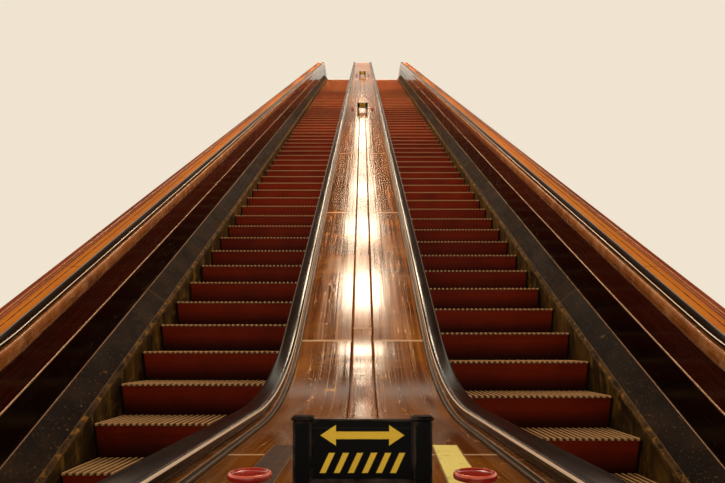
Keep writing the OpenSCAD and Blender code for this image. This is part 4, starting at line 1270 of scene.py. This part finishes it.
# Side cladding: a recessed plate along each side with cover strips over its joints, a flange along its
# top and its foot, and a row of bolts in both
cladding = {"face": 1.957, "outer": 1.966, "inner": 1.946, "plates": 21, "stripWide": 0.09,
            "flange": 0.07, "bolt": 0.30}
claddingLook = {"dark": (104, 100, 92), "light": (136, 131, 120), "rough": (0.5, 0.62), "contrast": 0.5,
                "fineness": 0.15, "metallic": 0.1, "bump": 0.2, "wave": 0.4,
                "stains": [((78, 70, 58), 0.38, 1.6, 0.2, 0.55, 0.08),
                           ((120, 84, 52), 0.16, 5.0, 0.06, 0.5, 0.1)],
                "scratch": ((160, 156, 146), 0.3, 0.01), "wear": ((160, 152, 138), 0.35, -0.05)}
casingLook = {"dark": (78, 80, 80), "light": (106, 108, 107), "rough": (0.48, 0.6), "contrast": 0.5,
              "fineness": 0.15, "metallic": 0.15, "bump": 0.2, "wave": 0.4,
              "stains": [((54, 50, 45), 0.4, 1.8, 0.2, 0.6, 0.08),
                         ((118, 80, 50), 0.15, 5.0, 0.06, 0.5, 0.1)],
              "scratch": ((140, 140, 138), 0.3, 0.01), "wear": ((150, 148, 142), 0.35, -0.05)}
trackLook = {"dark": (22, 20, 18), "light": (48, 43, 38), "rough": (0.35, 0.5), "contrast": 0.8,
             "flat": True, "metallic": 0.7, "stains": [((66, 46, 28), 0.3, 4.0, 0.2, 0.6, 0.1)],
             "fineness": 0.3, "bump": 0.2}
claddingPaint = finish("claddingPaint", claddingLook)
casingPaint = finish("casingPaint", casingLook)
trackIron = finish("trackIron", trackLook)


# Top of the side at y: the line of the deck's underside
def sideTop(y):
    s = np.linspace(0, 31, 3101)
    lineY, lineZ, _ = lineAt(height["deckUnder"], s)
    return np.interp(y, lineY, lineZ)


# A plate between two heights given at each y, and two distances from the middle
def upright(side, y, low, high, near, far, board=0.0, soft=0.0015):
    y = np.concatenate([[y[0], y[0] + soft], y[1:-1], [y[-1] - soft, y[-1]]])
    low, high = low(y), high(y)
    drop = np.where((np.arange(len(y)) == 0) | (np.arange(len(y)) == len(y) - 1), soft, 0.0)
    near, outer, rim = near + 0 * y, far - drop, far - soft - drop
    x = np.stack([near, near, rim, outer, outer, rim], 1)
    z = np.stack([low, high, high - drop, high - soft - drop, low + soft + drop, low + drop], 1)
    rings = np.stack([side * x, np.broadcast_to(y[:, None], x.shape), z], -1)
    return skin(rings, y, np.array([0, 0, 1, 1, 1, 1.0])[None], board)


# A hexagon bolt head with its axis along x
def boltPart(side, radius=0.011, deep=0.006):
    flat = turned([(0.0005, 0, 0), (radius, 0, 1), (radius, deep * 0.75, 1), (radius * 0.86, deep, 1),
                   (0.0005, deep, 0)], 6)
    p = flat["points"]
    flat["points"] = np.stack([side * p[:, 2], p[:, 0], p[:, 1]], 1)
    return outward(flat)


# Between two seams stand a plate and its two flanges, and over each seam a cover strip
def makeCladding():
    plates, strips, bolts = [], [], {-1: [], 1: []}
    bottom = lambda y: straightAt(machine["bottom"], y)
    flange, inner, outer, wide = (cladding[key] for key in ("flange", "inner", "outer", "stripWide"))
    seams = np.arange(lowerJoin, upperJoin + 0.01, (upperJoin - lowerJoin) / cladding["plates"])
    for side in (-1, 1):
        for a, b in zip(seams, seams[1:]):
            y = np.linspace(a + 0.001, b - 0.001, 9)
            plates.append(upright(side, y, lambda v: bottom(v) + 0.002, lambda v: sideTop(v) - 0.002,
                                  inner, cladding["face"], chance.random()))
            for low, high in ((bottom, lambda v: bottom(v) + flange),
                              (lambda v: sideTop(v) - flange, sideTop)):
                strips.append(upright(side, y, low, high, inner + 0.001, outer - 0.004, chance.random()))
            at = np.arange(a + 0.15, b - 0.1, cladding["bolt"])
            for z in (bottom(at) + flange / 2, sideTop(at) - flange / 2):
                bolts[side] += [(side * (outer - 0.006), v, w) for v, w in zip(at, z)]
        for seam in seams:
            a = np.clip(seam - wide / 2, lowerJoin, upperJoin - wide)
            y = np.linspace(a, a + wide, 3)
            strips.append(upright(side, y, lambda v: bottom(v) + flange + 0.002,
                                  lambda v: sideTop(v) - flange - 0.002, cladding["face"] - 0.002,
                                  outer - 0.003, chance.random()))
            middle = a + wide / 2
            z = np.arange(bottom(middle) + flange + 0.12, sideTop(middle) - flange - 0.05, 0.24)
            bolts[side] += [(side * (outer - 0.006), middle, w) for w in z]
    addPiece("side_cladding_plates", plates, claddingPaint, "side_cladding")
    addPiece("side_cladding_strips", strips, claddingPaint, "side_cladding")
    addPiece("side_cladding_bolts", [copies(boltPart(side), bolts[side]) for side in (-1, 1)], casingPaint,
             "side_cladding")


makeCladding()

# Machine boxes at both ends: a core with plates set on it, gaps between them, and a bearing bracket
boxes = {"top": -0.017, "skin": 0.006, "gap": 0.002, "bracket": (1.8, 0.15, 0.04), "seat": 0.25,
         "sidePlates": {-1: 1, 1: 2},
         "stud": [(0.0005, 0, 0), (0.020, 0, 1), (0.020, 0.014, 1), (0.017, 0.017, 1),
                  (0.0005, 0.017, 0)]}


# The bearing bracket at a box's outer side: a plate with ribs over it, and its studs' places
def bracketParts(end, far, floor):
    wide, deep, thick = boxes["bracket"]
    low, high = sorted((far, far + end * deep))
    seat = floor - boxes["seat"]
    plateTop = floor - 0.211   # the ribs and studs reach 1 mm into the plate
    parts = [block((-wide, low, seat), (wide, high, seat + thick), 0.003, chance.random())]
    near, tip = (low, high - 0.02) if end > 0 else (high, low + 0.02)
    gusset = np.array([(near, plateTop), (tip, plateTop), (near, floor - 0.10)])
    for x in np.linspace(-wide + 0.1, wide - 0.1, 9):
        parts.append(bar(gusset, x - 0.005, x + 0.005, "x", 0.001))
    return parts, [(x, (low + high) / 2, plateTop) for x in np.linspace(-wide + 0.2, wide - 0.2, 8)]


# A machine box: the core, four plates on its outer side and four below, and its sides' bolted plates
def makeBox(end, word):
    join, floor = landing(end)
    far = join + end * machine["landing"][end]
    low, high = sorted((join, far))
    half, t, gap = machine["half"], boxes["skin"], boxes["gap"]
    z0, z1 = floor + machine["bottom"], floor + boxes["top"]
    parts = [block((-half + t, low + t * (end < 0), z0 + t), (half - t, high - t * (end > 0), z1), 0.001)]
    near, away = sorted((far, far - end * t))
    for x in np.linspace(-half, half, 5)[:-1]:
        a, b = x + gap, x + half / 2 - gap
        parts.append(block((a, near, z0 + t + gap), (b, away, z1 - gap), 0.002, chance.random()))
        parts.append(block((a, low + gap, z0), (b, high - gap, z0 + t), 0.002, chance.random()))
    many = boxes["sidePlates"][end]
    long = (high - low) / many
    bolts = {-1: [], 1: []}
    for side in (-1, 1):
        left, right = sorted((side * half, side * (half - t)))
        boltX = side * (half - 0.0055)
        for k in range(many):
            a, b = low + k * long + gap, low + (k + 1) * long - gap
            parts.append(block((left, a, z0 + gap), (right, b, z1 - gap), 0.002, chance.random()))
            bolts[side] += [(boltX, v, w) for v in (a + 0.05, (a + b) / 2, b - 0.05)
                            for w in (z0 + 0.06, z1 - 0.06)]
            bolts[side] += [(boltX, v, (z0 + z1) / 2) for v in (a + 0.05, b - 0.05)]
    bracket, studs = bracketParts(end, far, floor)
    stud = turned(boxes["stud"], 6)
    node = word + "_machine_box"
    addPiece(word + "_machine_box_plates", parts + bracket, casingPaint, node)
    addPiece(word + "_machine_box_bolts", [copies(boltPart(side, 0.010, 0.0055), bolts[side])
                                           for side in (-1, 1)] + [copies(stud, studs)], stripMetal,
             node)


for end, word in ends:
    makeBox(end, word)

# Housings: the bottom plates with their seams, over a plain core
housing = {"half": 1.9455, "top": -0.3160, "skin": 0.006, "spacing": 1.22}


# A core for each housing, and bottom plates in rows of three between its seams
def makeHousings():
    bend = machine["bendY"]
    breaks = {"lower_housing": (lowerJoin, bend), "incline_housing": (bend, bend + run),
              "upper_housing": (bend + run, upperJoin)}
    for node, (a, b) in breaks.items():
        half = housing["half"]
        ends = np.array([a, b])
        top, low = straightAt(housing["top"], ends), straightAt(machine["bottom"], ends) + housing["skin"]
        core = bar(np.array([(a, low[0]), (b, low[1]), (b, top[1]), (a, top[0])]), -half, half, "x", 0.001)
        plates = []
        seams = np.linspace(a, b, max(2, round((b - a) / housing["spacing"]) + 1))
        for c, d in zip(seams, seams[1:]):
            y = np.array([c + 0.002, d - 0.002])
            z = straightAt(machine["bottom"], y)
            outline = np.array([(y[0], z[0]), (y[1], z[1]), (y[1], z[1] + housing["skin"]),
                                (y[0], z[0] + housing["skin"])])
            for x in np.linspace(-half, half, 4)[:-1]:
                plates.append(bar(outline, x + 0.002, x + 2 * half / 3 - 0.002, "x", 0.001,
                                  board=chance.random()))
        addPiece(node + "_plates", [core] + plates, casingPaint, node)


makeHousings()
for thing in bpy.data.objects:
    if thing.type == "MESH" and "step_tracks" in thing.name:
        thing.material_slots[0].link = "OBJECT"
        thing.material_slots[0].material = trackIron
print("housings made")

# The floor that the machine stands over
stage = {"radius": 900.0, "corners": 96, "colour": (251, 247, 239), "rough": 0.8}
floorRing = circle((0, 0), stage["radius"], count=stage["corners"])
floorMesh = bpy.data.meshes.new("studio_floor")
floorMesh.from_pydata([(x, y, cadBox[0][2]) for x, y in floorRing.tolist()], [], [range(len(floorRing))])
studioFloor = bpy.data.objects.new("studio_floor", floorMesh)
bpy.context.scene.collection.objects.link(studioFloor)
floorPaint = bpy.data.materials.new("floorPaint")
floorPaint.use_nodes = True
floorInputs = floorPaint.node_tree.nodes["Principled BSDF"].inputs
floorInputs["Base Color"].default_value = paint(*stage["colour"])
floorInputs["Roughness"].default_value = stage["rough"]
floorMesh.materials.append(floorPaint)

# World: a pale backdrop that turns brown high overhead, for the camera and for reflections alike, and a
# plain soft light
world = bpy.data.worlds.new("studio")
bpy.context.scene.world = world
world.use_nodes = True
tree = world.node_tree
tree.nodes.clear()
add = nodeMaker(tree)
light = {"camera": (240, 228, 208), "diffuse": (255, 246, 234), "strength": 0.93, "brown": (96, 62, 38),
         "above": (0.63, 0.53)}
path = add("LightPath")
towards = add("SeparateXYZ", {"Vector": add("TexCoord").outputs["Generated"]}).outputs
low = ranged(add, towards[2], *light["above"])
seen = add("Background", {"Color": blended(add, low, paint(*light["brown"]), paint(*light["camera"]))})
soft = add("Background", {"Color": paint(*light["diffuse"]), "Strength": light["strength"]})
shown = worked(add, "MAXIMUM", path.outputs["Is Camera Ray"], path.outputs["Is Glossy Ray"])
shown = worked(add, "MAXIMUM", shown, path.outputs["Is Transmission Ray"])
both = add("MixShader", {0: shown, 1: soft.outputs[0], 2: seen.outputs[0]})
tree.links.new(both.outputs[0], add("OutputWorld").inputs[0])

# A row of small lamps over the middle of the machine, which its varnish mirrors, and large soft fills
lamps = {"along": (5.3, 9.2, 13.2, 17.3, 21.3, 26.0, 31.0), "over": 4.04, "spread": 180,
         "colour": (255, 232, 200), "wide": (1.3, 0.85, 0.85, 0.8, 0.6, 0.6, 0.6),
         "long": (0.5, 1.1, 0.8, 0.6, 0.3, 0.8, 1.0), "power": (74, 80, 54, 34, 10, 26, 30)}
fills = {"along": (1.0, 6.0, 11.0, 16.0, 21.0, 25.0), "over": 4.6, "wide": (3.4,) * 6, "long": (2.0,) * 6,
         "power": (14, 38, 88, 160, 230, 300), "spread": 75, "colour": (255, 222, 184)}


# A lamp at the distance a up the incline from the lower bend, over it and square to it
def addLamp(name, look, index, a, aim, mirrored):
    over = look["over"]
    place = (0, a * cos(incline) - over * sin(incline), a * sin(incline) + over * cos(incline))
    data = bpy.data.lights.new(name, "AREA")
    data.shape, data.energy = "RECTANGLE", look["power"][index]
    data.color = paint(*look["colour"])[:3]
    data.size, data.size_y, data.spread = look["wide"][index], look["long"][index], radians(look["spread"])
    lamp = bpy.data.objects.new(name, data)
    lamp.location = np.array(place) + home
    lamp.rotation_euler = Vector(aim).to_track_quat("-Z", "Y").to_euler()
    lamp.visible_camera, lamp.visible_glossy = False, mirrored
    bpy.context.scene.collection.objects.link(lamp)


for index, a in enumerate(lamps["along"]):
    addLamp(f"lamp_{index + 1}", lamps, index, a, (0, 0.25, -1), True)
for index, a in enumerate(fills["along"]):
    addLamp(f"fill_{index + 1}", fills, index, a, (0, 0.9, -1), False)

# Camera: low over the lower landing, looking up the centre deck
camera = {"place": (0.0, 0.527, 1.302), "pitch": 1.43, "lens": 27.81, "sensor": 36, "shift": 0.1262,
          "sight": 2000}
data = bpy.data.cameras.new("camera")
data.lens, data.sensor_width = camera["lens"], camera["sensor"]
data.shift_y, data.clip_end = camera["shift"], camera["sight"]
view = bpy.data.objects.new("camera", data)
view.location = camera["place"]
view.rotation_euler = (radians(90 + camera["pitch"]), 0, 0)
bpy.context.scene.collection.objects.link(view)
bpy.context.scene.camera = view
bpy.context.scene.view_settings.view_transform = "Standard"
print("stage made")
